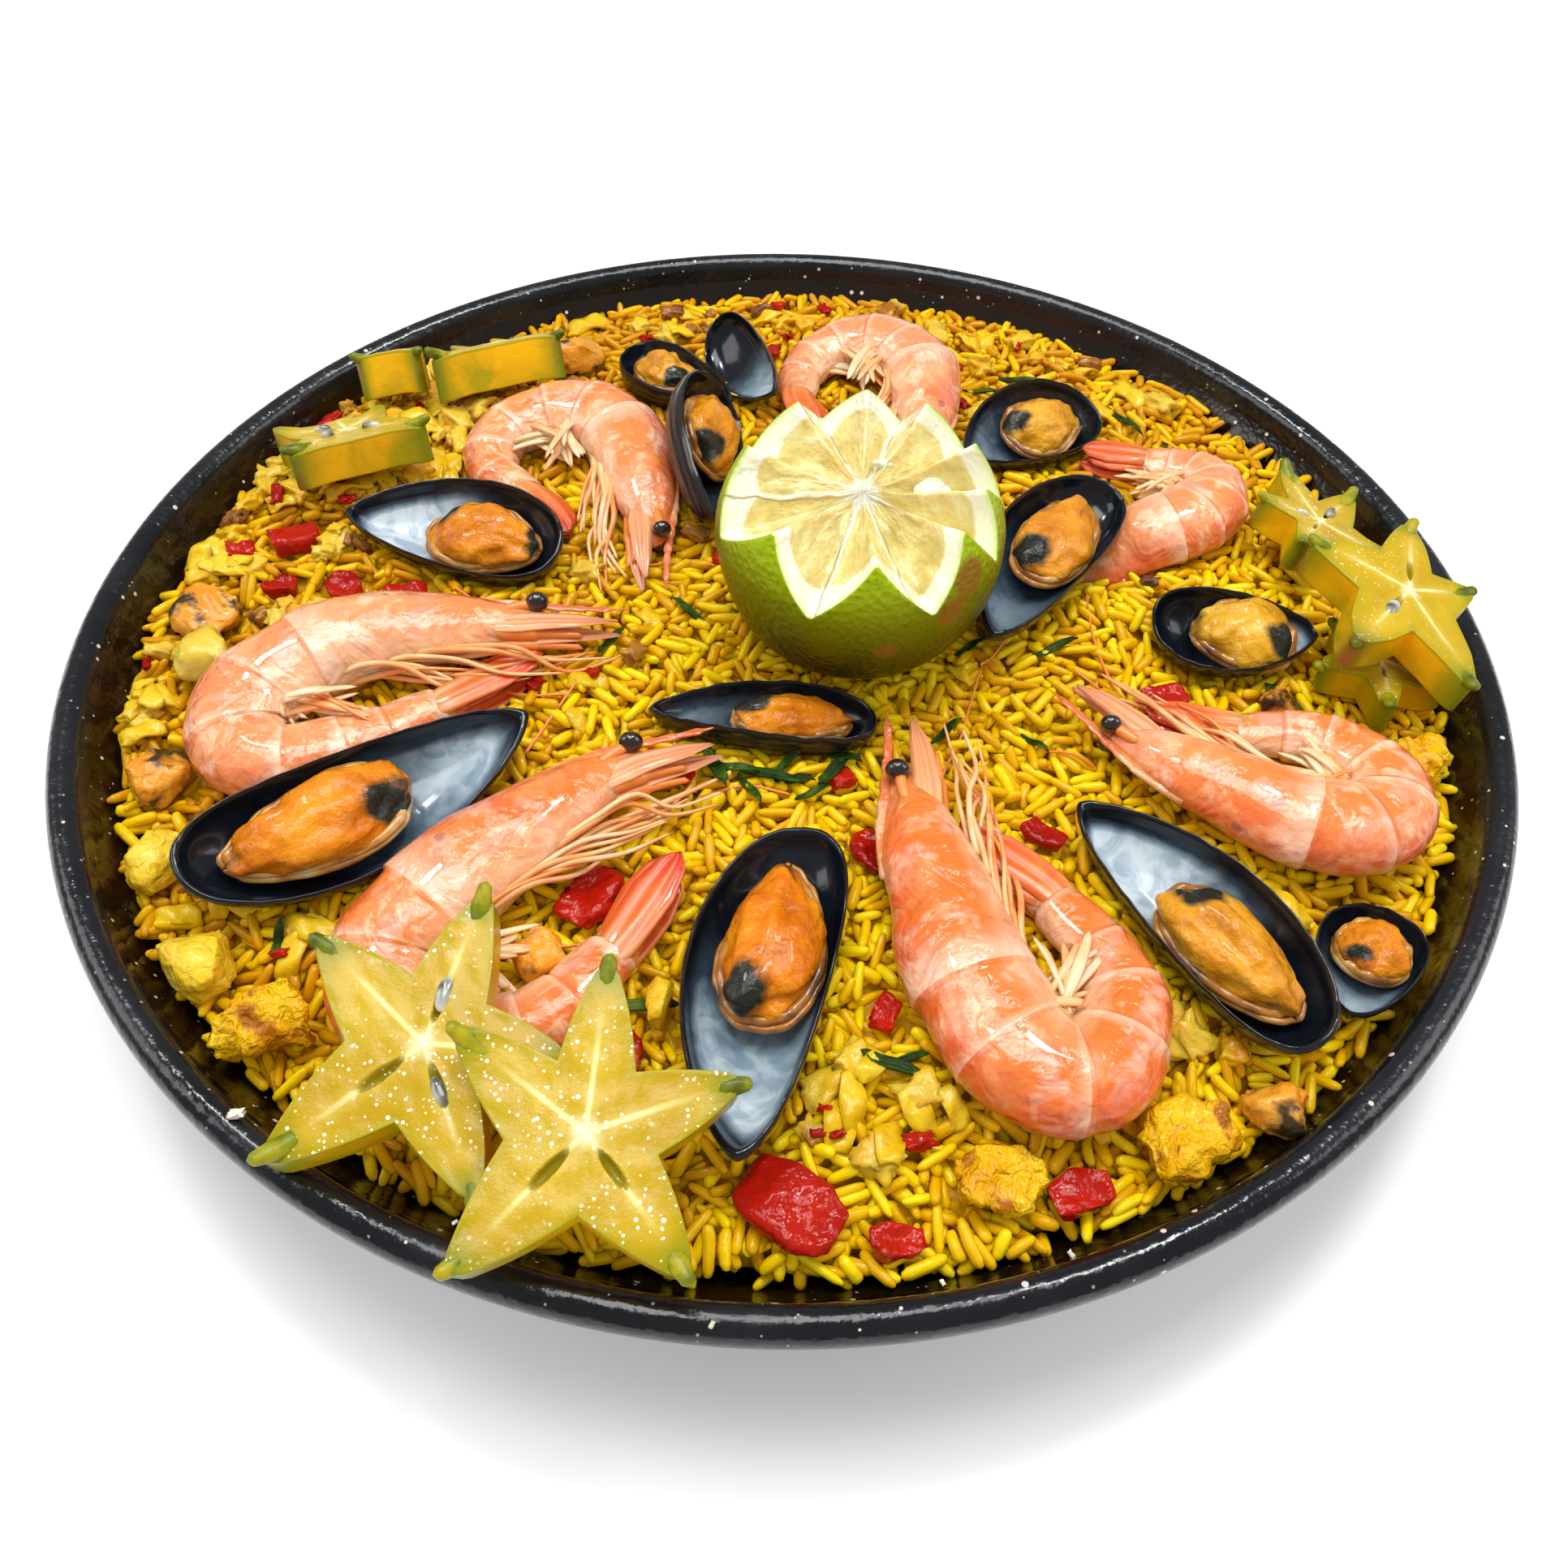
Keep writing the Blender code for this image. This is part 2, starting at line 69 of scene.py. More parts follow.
EYE = (0.00036, -0.23341, 0.26428)
pitch = Matrix.Rotation(math.radians(39.614), 4, "X")
level = Matrix.Rotation(math.radians(1.2334), 4, "Z")
camera = bpy.data.objects.new("camera", bpy.data.cameras.new("camera"))
camera.data.lens = 32.505
camera.data.clip_start = 0.01
camera.matrix_world = Matrix.Translation(EYE) @ pitch @ level
scene.collection.objects.link(camera)
scene.camera = camera
scene.view_settings.view_transform = "Standard"

world = bpy.data.worlds.new("room")
world.use_nodes = True
world.node_tree.nodes["Background"].inputs["Color"].default_value = (1.0, 1.0, 1.0, 1.0)
world.node_tree.nodes["Background"].inputs["Strength"].default_value = 0.27
scene.world = world


def lamp(name, place, size, power):
    """A square soft lamp that faces the dish."""
    light = bpy.data.lights.new(name, "AREA")
    light.size = size
    light.energy = power
    holder = bpy.data.objects.new(name, light)
    holder.location = place
    holder.rotation_euler = (-Vector(place)).to_track_quat("-Z", "Y").to_euler()
    scene.collection.objects.link(holder)
    return holder


lamp("soft_lamp", (-0.12, 0.18, 1.60), 0.8, 13.2)
lamp("glint_lamp", (0.28, 0.28, 1.00), 0.16, 3.0)
lamp("small_glint_lamp", (-0.38, 0.34, 0.90), 0.12, 1.6)
# The fill from the front would lie as a grey veil on the black enamel, so gloss does not show it
lamp("front_lamp", (0.15, -1.10, 1.20), 1.0, 7.0).visible_glossy = False
lamp("left_lamp", (-1.20, 0.10, 0.90), 0.7, 4.0)
lamp("right_lamp", (1.20, 0.10, 0.90), 0.7, 4.0)

bm = bmesh.new()
bmesh.ops.create_grid(bm, x_segments=1, y_segments=1, size=6.0)
floor_mesh = bpy.data.meshes.new("table_top")
bm.to_mesh(floor_mesh)
bm.free()
table_top = bpy.data.objects.new("table_top", floor_mesh)
scene.collection.objects.link(table_top)
floor_mesh.transform(Matrix.Translation((0.0, 0.0, -0.0002)))
white = bpy.data.materials.new("white_table")
white.use_nodes = True
for label, value in (("Base Color", (0.93, 0.93, 0.93, 1.0)), ("Roughness", 0.7),
                     ("Emission Color", (1.0, 1.0, 1.0, 1.0)), ("Emission Strength", 0.10)):
    white.node_tree.nodes["Principled BSDF"].inputs[label].default_value = value
floor_mesh.materials.append(white)
table_top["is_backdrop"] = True

# ---------------------------------------------------------------------------------------------
# The pan. Pressed steel with a rolled rim, dipped in black enamel that has fine white specks and
# an uneven, orange-peel gloss. Oil and saffron leave a brown film on the inside of the wall.

RIM_RADIUS = 160.0
PAN_HEIGHT = 40.0
BEAD_RADIUS = 3.5
SHEET = 1.5
FLOOR_RADIUS = 130.0
WALL_TOP_RADIUS = 152.0
WALL_FOOT = FLOOR_RADIUS + 1.0
FOOT_HEIGHT = 2.9
WALL_RUN = 21.0
WALL_SLOPE = 1.476


def put(tree, kind, inputs=None, out=0, **settings):
    """Adds a shader node, fills its inputs with values or links, and gives back one output."""
    made = tree.nodes.new("ShaderNode" + kind)
    for key, value in settings.items():
        setattr(made, key, value)
    for key, value in (inputs or {}).items():
        if isinstance(value, bpy.types.NodeSocket):
            tree.links.new(value, made.inputs[key])
        else:
            made.inputs[key].default_value = value
    return made.outputs[out]


def share(tree, value, low, high, start=0.0, end=1.0):
    """Turns a value from the range low..high into start..end, held at both ends."""
    return put(tree, "MapRange", {0: value, 1: low, 2: high, 3: start, 4: end})


def tinted(tree, factor, first, second, blend_type="MIX"):
    """Mixes two colours, each a socket or three numbers."""
    def colour(c):
        return c if isinstance(c, bpy.types.NodeSocket) else (*c, 1.0)
    return put(tree, "Mix", {0: factor, 6: colour(first), 7: colour(second)}, out=2,
               data_type="RGBA", blend_type=blend_type)


def ramp(tree, value, stops):
    """A colour that runs through (position, colour) stops."""
    made = tree.nodes.new("ShaderNodeValToRGB")
    tree.links.new(value, made.inputs[0])
    elements = made.color_ramp.elements
    while len(elements) < len(stops):
        elements.new(0.5)
    for element, (position, colour) in zip(elements, stops):
        element.position = position
        element.color = (*colour, 1.0)
    return made.outputs[0]


def calc(tree, operation, a, b=0.0):
    return put(tree, "Math", {0: a, 1: b}, operation=operation)


def times(tree, a, b):
    return calc(tree, "MULTIPLY", a, b)


def plus(tree, a, b):
    return calc(tree, "ADD", a, b)


def swing(tree, value, reach):
    """Turns a cloudy value of 0 to 1 into one that strays to both sides of nothing."""
    return times(tree, calc(tree, "SUBTRACT", value, 0.5), reach)


def clouds(tree, at, scale, detail=2.0, **more):
    """Cloudy noise; more holds other inputs of the node by name."""
    return put(tree, "TexNoise", {"Vector": at, "Scale": scale, "Detail": detail, **more})


def layered(tree, base, *layers):
    """Lays tints over a colour one after another: each is a mask, a strength and a colour."""
    for mask, strength, colour in layers:
        base = tinted(tree, times(tree, mask, strength), base, colour)
    return base


def paint(tree, shader, colour):
    tree.links.new(colour, shader["Base Color"])


def effect(name, inputs, outputs):
    """An empty group of shader nodes with named inputs and outputs."""
    made = bpy.data.node_groups.new(name, "ShaderNodeTree")
    for label, value in inputs.items():
        kind = "NodeSocketVector" if value is None else "NodeSocketFloat"
        socket = made.interface.new_socket(label, in_out="INPUT", socket_type=kind)
        if value is not None:
            socket.default_value = value
    for label, kind in outputs.items():
        made.interface.new_socket(label, in_out="OUTPUT", socket_type="NodeSocket" + kind)
    return made, made.nodes.new("NodeGroupInput").outputs, made.nodes.new("NodeGroupOutput").inputs


def with_effect(tree, group, inputs, out=0):
    made = tree.nodes.new("ShaderNodeGroup")
    made.node_tree = group
    for key, value in inputs.items():
        if isinstance(value, bpy.types.NodeSocket):
            tree.links.new(value, made.inputs[key])
        else:
            made.inputs[key].default_value = value
    return made.outputs[out]


def finish(name, sockets):
    """A new material: its node tree, its shader's inputs and its object coordinates."""
    material = bpy.data.materials.new(name)
    material.use_nodes = True
    tree = material.node_tree
    shader = tree.nodes["Principled BSDF"].inputs
    for key, value in sockets.items():
        shader[key].default_value = value
    return material, tree, shader, put(tree, "TexCoord", out=3)


def relief(tree, shader, height, distance, strength=1.0):
    """Bumps the surface by a height value, in metres at the value 1."""
    normal = put(tree, "Bump", {"Height": height, "Distance": distance, "Strength": strength})
    tree.links.new(normal, shader["Normal"])


# Scattered specks: each cell of a random pattern holds one speck or none.
flecks, given, gives = effect("flecks", {"Vector": None, "Scale": 200.0, "Size": 0.1, "Share": 0.2},
                              {"Mask": "Float"})
cells = put(flecks, "TexVoronoi", {"Vector": given["Vector"], "Scale": given["Scale"]}, out=0)
chance = put(flecks, "TexVoronoi", {"Vector": given["Vector"], "Scale": given["Scale"]}, out=1)
parts = flecks.nodes.new("ShaderNodeSeparateColor")
flecks.links.new(chance, parts.inputs[0])
reach = calc(flecks, "MULTIPLY", given["Size"], calc(flecks, "ADD", parts.outputs[1], 0.3))
inside = calc(flecks, "LESS_THAN", cells, reach)
picked = calc(flecks, "LESS_THAN", parts.outputs[0], given["Share"])
flecks.links.new(calc(flecks, "MULTIPLY", inside, picked), gives["Mask"])

# Soft uneven patches, from 0 to 1.
mottle, given, gives = effect("mottle", {"Vector": None, "Scale": 60.0, "Low": 0.35, "High": 0.65},
                              {"Value": "Float"})
cloud = clouds(mottle, given["Vector"], given["Scale"], 3.0)
mottle.links.new(share(mottle, cloud, given["Low"], given["High"]), gives["Value"])


def flecked(tree, at, scale, size, cells):
    """The specks on an object: how fine, how large, and in what share of the cells."""
    return with_effect(tree, flecks, {"Vector": at, "Scale": scale, "Size": size, "Share": cells})


def patches(tree, at, scale, low=0.35, high=0.65):
    return with_effect(tree, mottle, {"Vector": at, "Scale": scale, "Low": low, "High": high})


def enamel(name, dark, brown, gloss):
    material, tree, shader, at = finish(name, {"Coat Weight": 0.2, "Coat Roughness": 0.06,
                                               "Specular IOR Level": 0.45})
    patch = patches(tree, at, 45.0)
    speck = flecked(tree, at, 300.0, 0.14, 0.34)
    dust = flecked(tree, at, 700.0, 0.18, 0.12)
    specks = calc(tree, "MAXIMUM", speck, times(tree, dust, 0.45))
    base = tinted(tree, patch, dark, brown)
    paint(tree, shader, tinted(tree, specks, base, (0.62, 0.60, 0.55)))
    tree.links.new(share(tree, patch, 0.0, 1.0, gloss, gloss + 0.12), shader["Roughness"])
    peel = clouds(tree, at, 420.0, 2.0)
    relief(tree, shader, peel, 0.00035, 0.8)
    return material


def served(name, mesh, materials, nodes):
    """Puts a finished mesh into the dish: its finishes and the solids that it replaces."""
    for material in materials:
        mesh.materials.append(material)
    mesh.shade_smooth()
    made = bpy.data.objects.new(name, mesh)
    scene.collection.objects.link(made)
    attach(made, "root")
    if nodes:
        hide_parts(*nodes)


def piece(name, bm, materials, slot, *nodes):
    """Turns a bmesh into a finished piece of the dish."""
    mesh = bpy.data.meshes.new(name)
    bm.to_mesh(mesh)
    bm.free()
    served(name, mesh, materials, nodes)


def turned(profile, steps):
    """Spins a profile of (radius, height) points round the upright axis into a closed body, in mm."""
    bm = bmesh.new()
    verts = [bm.verts.new((r, 0.0, z)) for r, z in profile]
    edges = [bm.edges.new(pair) for pair in zip(verts, verts[1:])]
    bmesh.ops.spin(bm, geom=verts + edges, cent=(0, 0, 0), axis=(0, 0, 1), dvec=(0, 0, 0),
                   angle=math.tau, steps=steps, use_merge=True, use_duplicate=False)
    bmesh.ops.remove_doubles(bm, verts=bm.verts, dist=0.01)
    bmesh.ops.recalc_face_normals(bm, faces=bm.faces)
    return bm


bead_height = PAN_HEIGHT - BEAD_RADIUS
bead_middle = RIM_RADIUS - BEAD_RADIUS
profile = [(0.0, SHEET)] + [(r, SHEET) for r in (30.0, 60.0, 90.0, 110.0, FLOOR_RADIUS - 4.0)]
profile += [(FLOOR_RADIUS - 1.5, SHEET + 0.3), (WALL_FOOT, FOOT_HEIGHT)]
profile += [(WALL_FOOT + WALL_RUN * k / 8, FOOT_HEIGHT + 31.0 * k / 8) for k in range(1, 8)]
profile += [(WALL_TOP_RADIUS, bead_height - 2.6), (WALL_TOP_RADIUS + 0.55, bead_height - 1.4)]
for degrees in range(166, -111, -12):
    turn = math.radians(degrees)
    profile.append((bead_middle + BEAD_RADIUS * math.cos(turn),
                    bead_height + BEAD_RADIUS * math.sin(turn)))
profile += [(WALL_TOP_RADIUS + SHEET + 0.4, bead_height - 4.0)]
profile += [(FLOOR_RADIUS + 2.4 + WALL_RUN * k / 8, 1.9 + 29.5 * k / 8) for k in range(7, 0, -1)]
profile += [(FLOOR_RADIUS + 1.2, 0.8), (FLOOR_RADIUS - 0.5, 0.2), (FLOOR_RADIUS - 3.0, 0.0)]
profile += [(90.0, 0.0), (0.0, 0.0)]
bm = turned(profile, 240)
for face in bm.faces:
    middle = face.calc_center_median()
    within = math.hypot(middle.x, middle.y) < WALL_TOP_RADIUS + 0.8
    face.material_index = int(face.normal.z > 0.1 and within)
bmesh.ops.scale(bm, vec=(MM, MM, MM), verts=bm.verts)
outside = enamel("enamel", (0.004, 0.005, 0.007), (0.008, 0.010, 0.013), 0.15)
inside_wall = enamel("oiled_enamel", (0.006, 0.004, 0.002), (0.013, 0.0055, 0.001), 0.12)
piece("pan_shell", bm, [outside, inside_wall], "enamel", "pan")

# ---------------------------------------------------------------------------------------------
# The rice. Long grains boiled in saffron stock, golden and wet, heaped so that they lean on each
# other and on the wall. A dark core of rice and stock stands under the loose upper layers.

RICE_RADIUS = 149.0
RICE_CROWN = 35.5
RICE_EDGE = 30.5
GRAIN_LENGTH = 7.9
GRAIN_WIDTH = 2.4
GRAIN_TRIES = 64000
GRAIN_LIMIT = 11300
CELL = 0.5
REACH = 156.0
NEAREST_TO_WALL = 152.5
NOTHING_ABOVE = 99.0

count = int(2 * REACH / CELL) + 1
line = np.linspace(-REACH, REACH, count)
grid_x, grid_y = np.meshgrid(line, line, indexing="ij")
grid_r = np.hypot(grid_x, grid_y)
grid_turn = np.arctan2(grid_y, grid_x)


def soft_noise(x, y, size, seed):
    """Smooth noise of about -1 to 1 with patches of the given size, as a sum of a few waves."""
    dice = np.random.default_rng(seed)
    total = np.zeros_like(x)
    for _ in range(9):
        turn, phase = dice.uniform(0, math.tau, 2)
        stretch = math.tau / (size * dice.uniform(1.6, 3.2))
        total += np.sin((x * math.cos(turn) + y * math.sin(turn)) * stretch + phase)
    return total / 4.0


def wall_height(radius):
    return np.where(radius < WALL_FOOT, SHEET, FOOT_HEIGHT + (radius - WALL_FOOT) * WALL_SLOPE)


# How far the heap reaches and how high it stands
front_left = np.maximum(0.0, -(0.4 * grid_x + 0.92 * grid_y) / np.maximum(grid_r, 1.0)) ** 8
circle_x, circle_y = 140 * np.cos(grid_turn), 140 * np.sin(grid_turn)
edge_radius = 149.5 - 3.2 * front_left + 1.4 * soft_noise(circle_x, circle_y, 14, 5)
target = RICE_CROWN + 0.6 - (RICE_CROWN - RICE_EDGE) * np.minimum(1.0, grid_r / RICE_RADIUS) ** 4
target += 0.9 * soft_noise(grid_x, grid_y, 22, 6) + 0.5 * soft_noise(grid_x, grid_y, 8, 7)
target -= 6.0 * np.clip((grid_r - edge_radius + 3.0) / 4.0, 0.0, 1.0) ** 2

# The underside of everything that lies on the rice
bm = bmesh.new()
for node_name, cad_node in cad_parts.items():
    if node_name not in ("pan", "rice"):
        bm.from_mesh(cad_node.data)
above = BVHTree.FromBMesh(bm)
bm.free()
coarse = np.full((count // 2 + 1, count // 2 + 1), NOTHING_ABOVE)
for i in range(coarse.shape[0]):
    for j in range(coarse.shape[1]):
        hit = above.ray_cast(Vector((line[2 * i] * MM, line[2 * j] * MM, 0.0)), Vector((0.0, 0.0, 1.0)))[0]
        if hit is not None:
            coarse[i, j] = hit.z / MM
ceiling = np.repeat(np.repeat(coarse, 2, axis=0), 2, axis=1)[:count, :count]
padded = np.pad(ceiling, 2, mode="edge")
ceiling = np.min([padded[a:a + count, b:b + count] for a in range(5) for b in range(5)], axis=0)

heap = np.minimum(target - 4.8, ceiling - 3.0)
heap = np.maximum(heap, wall_height(grid_r) + 0.2)


def core_height(x, y):
    i = int(round((x + REACH) / CELL))
    j = int(round((y + REACH) / CELL))
    return float(min(target[i, j] - 3.4, ceiling[i, j] - 1.5))


profile = [(0.0, 30.0)] + [(2.0 * k, 30.0) for k in range(1, 70)] + [(143.0, 26.0), (141.0, 20.0)]
profile += [(127.0, 3.0), (124.0, 2.2), (0.0, 2.2)]
bm = turned(profile, 200)
for vert in bm.verts:
    x, y, z = vert.co
    if z > 25.0:
        rough = 0.5 * noise.noise(Vector((x * 0.4, y * 0.4, 1.0))) + 0.4 * noise.noise(Vector((x, y, 4.0)))
        vert.co.z = core_height(x, y) + rough - (4.0 if z < 29.0 else 0.0)
bmesh.ops.scale(bm, vec=(MM, MM, MM), verts=bm.verts)
soaked, tree, shader, at = finish("soaked_rice", {"Roughness": 0.5, "Specular IOR Level": 0.2})
patch = patches(tree, at, 160.0)
paint(tree, shader, tinted(tree, patch, (0.40, 0.19, 0.001), (0.62, 0.36, 0.002)))
relief(tree, shader, put(tree, "TexVoronoi", {"Vector": at, "Scale": 330.0}), 0.001)
piece("rice_core", bm, [soaked], "rice", "rice")


def shape_points(bm):
    """The vertices and the triangles of a small shape, as arrays."""
    bmesh.ops.triangulate(bm, faces=bm.faces)
    bm.verts.index_update()
    points = np.array([v.co[:] for v in bm.verts])
    corners = np.array([[v.index for v in f.verts] for f in bm.faces])
    bm.free()
    return points, corners


def strewn(name, shape, seats, tones, material, slot, *nodes):
    """One mesh of many copies of a small shape. A seat is its (middle, three axes), in mm."""
    points, corners = shape
    middles = np.array([seat[0] for seat in seats])
    frames = np.array([seat[1] for seat in seats])
    placed = np.einsum("pk,nkc->npc", points, frames) + middles[:, None, :]
    steps = np.arange(len(seats))[:, None, None] * len(points)
    mesh = bpy.data.meshes.new(name)
    mesh.from_pydata((placed.reshape(-1, 3) * MM).tolist(), [],
                     (corners[None] + steps).reshape(-1, 3).tolist())
    tone = mesh.attributes.new("tone", "FLOAT", "POINT")
    tone.data.foreach_set("value", np.repeat(np.array(tones, dtype=np.float32), len(points)))
    served(name, mesh, [material], nodes)


def grain_shape(bend, blunt):
    """One grain of unit length along X: a ball drawn out, blunt at one end and a little bent."""
    bm = bmesh.new()
    bmesh.ops.create_uvsphere(bm, u_segments=7, v_segments=6, radius=0.5)
    bmesh.ops.rotate(bm, cent=(0, 0, 0), matrix=Matrix.Rotation(math.pi / 2, 3, "Y"), verts=bm.verts)
    for vert in bm.verts:
        slim = math.sqrt(max(0.02, 1.0 - 4.0 * vert.co.x ** 2))
        x = vert.co.x = 0.5 * math.copysign(abs(2.0 * vert.co.x) ** 0.58, vert.co.x)
        round_end = math.sqrt(max(0.0, 1.0 - abs(2.0 * x) ** blunt)) / slim
        vert.co.y = vert.co.y * round_end * (1.0 - 0.22 * x) + bend * (x * x - 0.08)
        vert.co.z *= round_end * (1.0 + 0.20 * x)
    return shape_points(bm)


# The points at which a grain feels for the heap, as shares of its length and breadth
span = np.linspace(-0.45, 0.45, 9)
width = np.array([-0.36, -0.18, 0.0, 0.18, 0.36])
span_grid, width_grid = np.meshgrid(span, width, indexing="ij")
dome = np.sqrt(np.maximum(0.0, 1.0 - (span_grid / 0.5) ** 2 * 0.8 - (width_grid / 0.5) ** 2))


def cell_at(x, y):
    return int((x + REACH) / CELL), int((y + REACH) / CELL)


def let_fall(x, y, yaw, length, breadth, sink=0.95, steepest=0.6, thick=None):
    """Where a grain comes to rest on the heap: the cells under it, the height of its middle, its slope
    and the height of its top in each cell."""
    along_x, along_y = math.cos(yaw), math.sin(yaw)
    px = x + span_grid * length * along_x - width_grid * breadth * along_y
    py = y + span_grid * length * along_y + width_grid * breadth * along_x
    ix = np.clip(np.rint((px + REACH) / CELL).astype(int), 0, count - 1)
    iy = np.clip(np.rint((py + REACH) / CELL).astype(int), 0, count - 1)
    under = heap[ix, iy]
    first, last = under[:4].max(), under[5:].max()
    slope = float(np.clip((last - first) / (0.55 * length), -steepest, steepest))
    rise = span_grid * length * slope
    belly = 0.5 * (thick or breadth) * dome
    middle = float((under - rise + belly).max()) - sink
    return ix, iy, middle, slope, middle + rise + belly


dice = np.random.default_rng(11)
grains = []
for _ in range(GRAIN_TRIES):
    tries = dice.uniform(-150.5, 150.5, (7, 2))
    spots = np.int64((tries + REACH) / CELL)
    x, y = tries[np.argmax((target - heap)[spots[:, 0], spots[:, 1]])]
    turns = dice.uniform(0.0, math.tau, 3)
    length = GRAIN_LENGTH * (1.16 - 0.5 * dice.uniform(0.0, 1.0) ** 1.8)
    breadth = GRAIN_WIDTH * dice.uniform(0.84, 1.18)
    luck = dice.uniform(0.0, 1.0)
    i, j = cell_at(x, y)
    if grid_r[i, j] > edge_radius[i, j] or heap[i, j] > target[i, j]:
        continue
    rests = [let_fall(x, y, turn, length, breadth) for turn in turns]
    best = int(np.argmin([rest[2] for rest in rests]))
    yaw, (ix, iy, middle, slope, top) = turns[best], rests[best]
    highest = target[i, j] - 0.7 + 1.6 * luck
    if middle > highest or np.any(top > ceiling[ix, iy] + 0.15):
        continue
    if np.hypot(line[ix], line[iy]).max() > NEAREST_TO_WALL:
        continue
    np.maximum.at(heap, (ix, iy), top)
    grains.append((x, y, middle, yaw, slope, length, breadth, luck))
    if len(grains) == GRAIN_LIMIT:
        break


def grain_seat(x, y, middle, yaw, slope, length, breadth, luck):
    along = np.array([math.cos(yaw), math.sin(yaw), slope])
    along /= np.linalg.norm(along)
    across = np.cross([0.0, 0.0, 1.0], along)
    across /= np.linalg.norm(across)
    roll = (luck - 0.5) * 5.0
    up = np.cross(along, across)
    side = across * math.cos(roll) + up * math.sin(roll)
    crown = np.cross(along, side)
    return (np.array([x, y, middle]), np.array([along * length, side * breadth, crown * breadth * 0.92]))


rice_skin, tree, shader, at = finish("saffron_rice", {"Roughness": 0.17, "Specular IOR Level": 0.26,
                                                     "Subsurface Weight": 0.35, "Subsurface Scale": 0.003,
                                                     "Subsurface Radius": (1.0, 0.65, 0.10)})
tone = put(tree, "Attribute", out=2, attribute_name="tone")
patch = patches(tree, at, 28.0)
fine = patches(tree, at, 380.0)
shade = plus(tree, times(tree, tone, 0.72), times(tree, patch, 0.28))
golden = ramp(tree, shade, [(0.0, (0.60, 0.27, 0.001)), (0.3, (0.82, 0.46, 0.001)),
                            (0.65, (0.95, 0.61, 0.001)), (1.0, (1.0, 0.75, 0.006))])
paint(tree, shader, tinted(tree, times(tree, fine, 0.25), golden, (0.60, 0.30, 0.004)))
relief(tree, shader, clouds(tree, at, 900.0), 0.0002, 0.6)


def darker_left_and_back(x, y):
    """How much darker a grain is: more towards the left and towards the back."""
    left, back = min(1.0, max(0.0, -x - 30.0) / 80.0), min(1.0, max(0.0, y - 20.0) / 80.0)
    return 0.45 * left + 0.55 * back


kinds = [grain_shape(0.0, 5.5), grain_shape(0.7, 4.6), grain_shape(-0.5, 7.0), grain_shape(0.25, 3.8)]
for k, kind in enumerate(kinds):
    some = grains[k::len(kinds)]
    tones = [0.5 + 0.5 * math.sin(91.7 * g[7] + g[3]) - darker_left_and_back(g[0], g[1]) for g in some]
    strewn("rice_grains_%d" % (k + 1), kind, [grain_seat(*grain) for grain in some], tones, rice_skin,
           "rice", "rice")

# ---------------------------------------------------------------------------------------------
# Pieces of chicken, potato, onion and loose mussel meat. Each is cut or torn by hand, browned in
# oil, and then cooked in the stock, so it is soft and golden with dark edges.


def sliced(bm, place, way):
    """Cuts away what lies beyond a plane and closes the cut."""
    cut = bmesh.ops.bisect_plane(bm, geom=bm.verts[:] + bm.edges[:] + bm.faces[:], dist=0.000001,
                                 plane_co=place, plane_no=way, clear_outer=True)
    rim = [item for item in cut["geom_cut"] if isinstance(item, bmesh.types.BMEdge)]
    bmesh.ops.holes_fill(bm, edges=rim, sides=0)


def from_solid(node, cuts, smooth_steps, planes=0, seed=0):
    """A finer, softer copy of a solid of the dish, with some flat cuts made by the knife."""
    bm = bmesh.new()
    bm.from_mesh(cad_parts[node].data)
    bmesh.ops.remove_doubles(bm, verts=bm.verts, dist=0.00001)
    dice = np.random.default_rng(seed)
    points = np.array([v.co[:] for v in bm.verts])
    middle = points.mean(axis=0)
    for k in range(planes):
        way = dice.normal(size=3)
        way /= np.linalg.norm(way)
        reach = ((points - middle) @ way).max() * dice.uniform(0.62, 0.85)
        sliced(bm, Vector(middle + way * reach), Vector(way))
    if planes:
        bmesh.ops.triangulate(bm, faces=bm.faces)
    bmesh.ops.subdivide_edges(bm, edges=bm.edges, cuts=cuts, use_grid_fill=True)
    for _ in range(smooth_steps):
        bmesh.ops.smooth_vert(bm, verts=bm.verts, factor=0.5, use_axis_x=True, use_axis_y=True,
                              use_axis_z=True)
    return bm


def roughened(bm, size, depth, seed):
    """Moves each point along its normal by layered noise: size and depth in mm."""
    bm.normal_update()
    moves = []
    for vert in bm.verts:
        spot = vert.co / (size * MM) + Vector((seed, 2.3 * seed, 0.7))
        height = noise.fractal(spot, 0.7, 2.2, 4)
        moves.append(vert.co + vert.normal * height * depth * MM)
    for vert, co in zip(bm.verts, moves):
        vert.co = co


def cooked(name, colours, scale, bump, spot_share, spot_colour):
    """A moist cooked surface: two or three tones, darker browned spots and a fine grain."""
    material, tree, shader, at = finish(name, {"Roughness": 0.24, "Specular IOR Level": 0.3,
                                               "Coat Weight": 0.2, "Coat Roughness": 0.04,
                                               "Subsurface Weight": 0.2, "Subsurface Scale": 0.002})
    patch = clouds(tree, at, scale, 4.0, Roughness=0.6)
    base = ramp(tree, patch, [(0.3 + 0.4 * k / (len(colours) - 1), c) for k, c in enumerate(colours)])
    burn = patches(tree, at, scale * 1.7, 1.0 - spot_share, 1.1 - spot_share)
    paint(tree, shader, tinted(tree, burn, base, spot_colour))
    grain = clouds(tree, at, scale * 5.0, 3.0, Distortion=0.8)
    relief(tree, shader, grain, bump, 1.0)
    return material


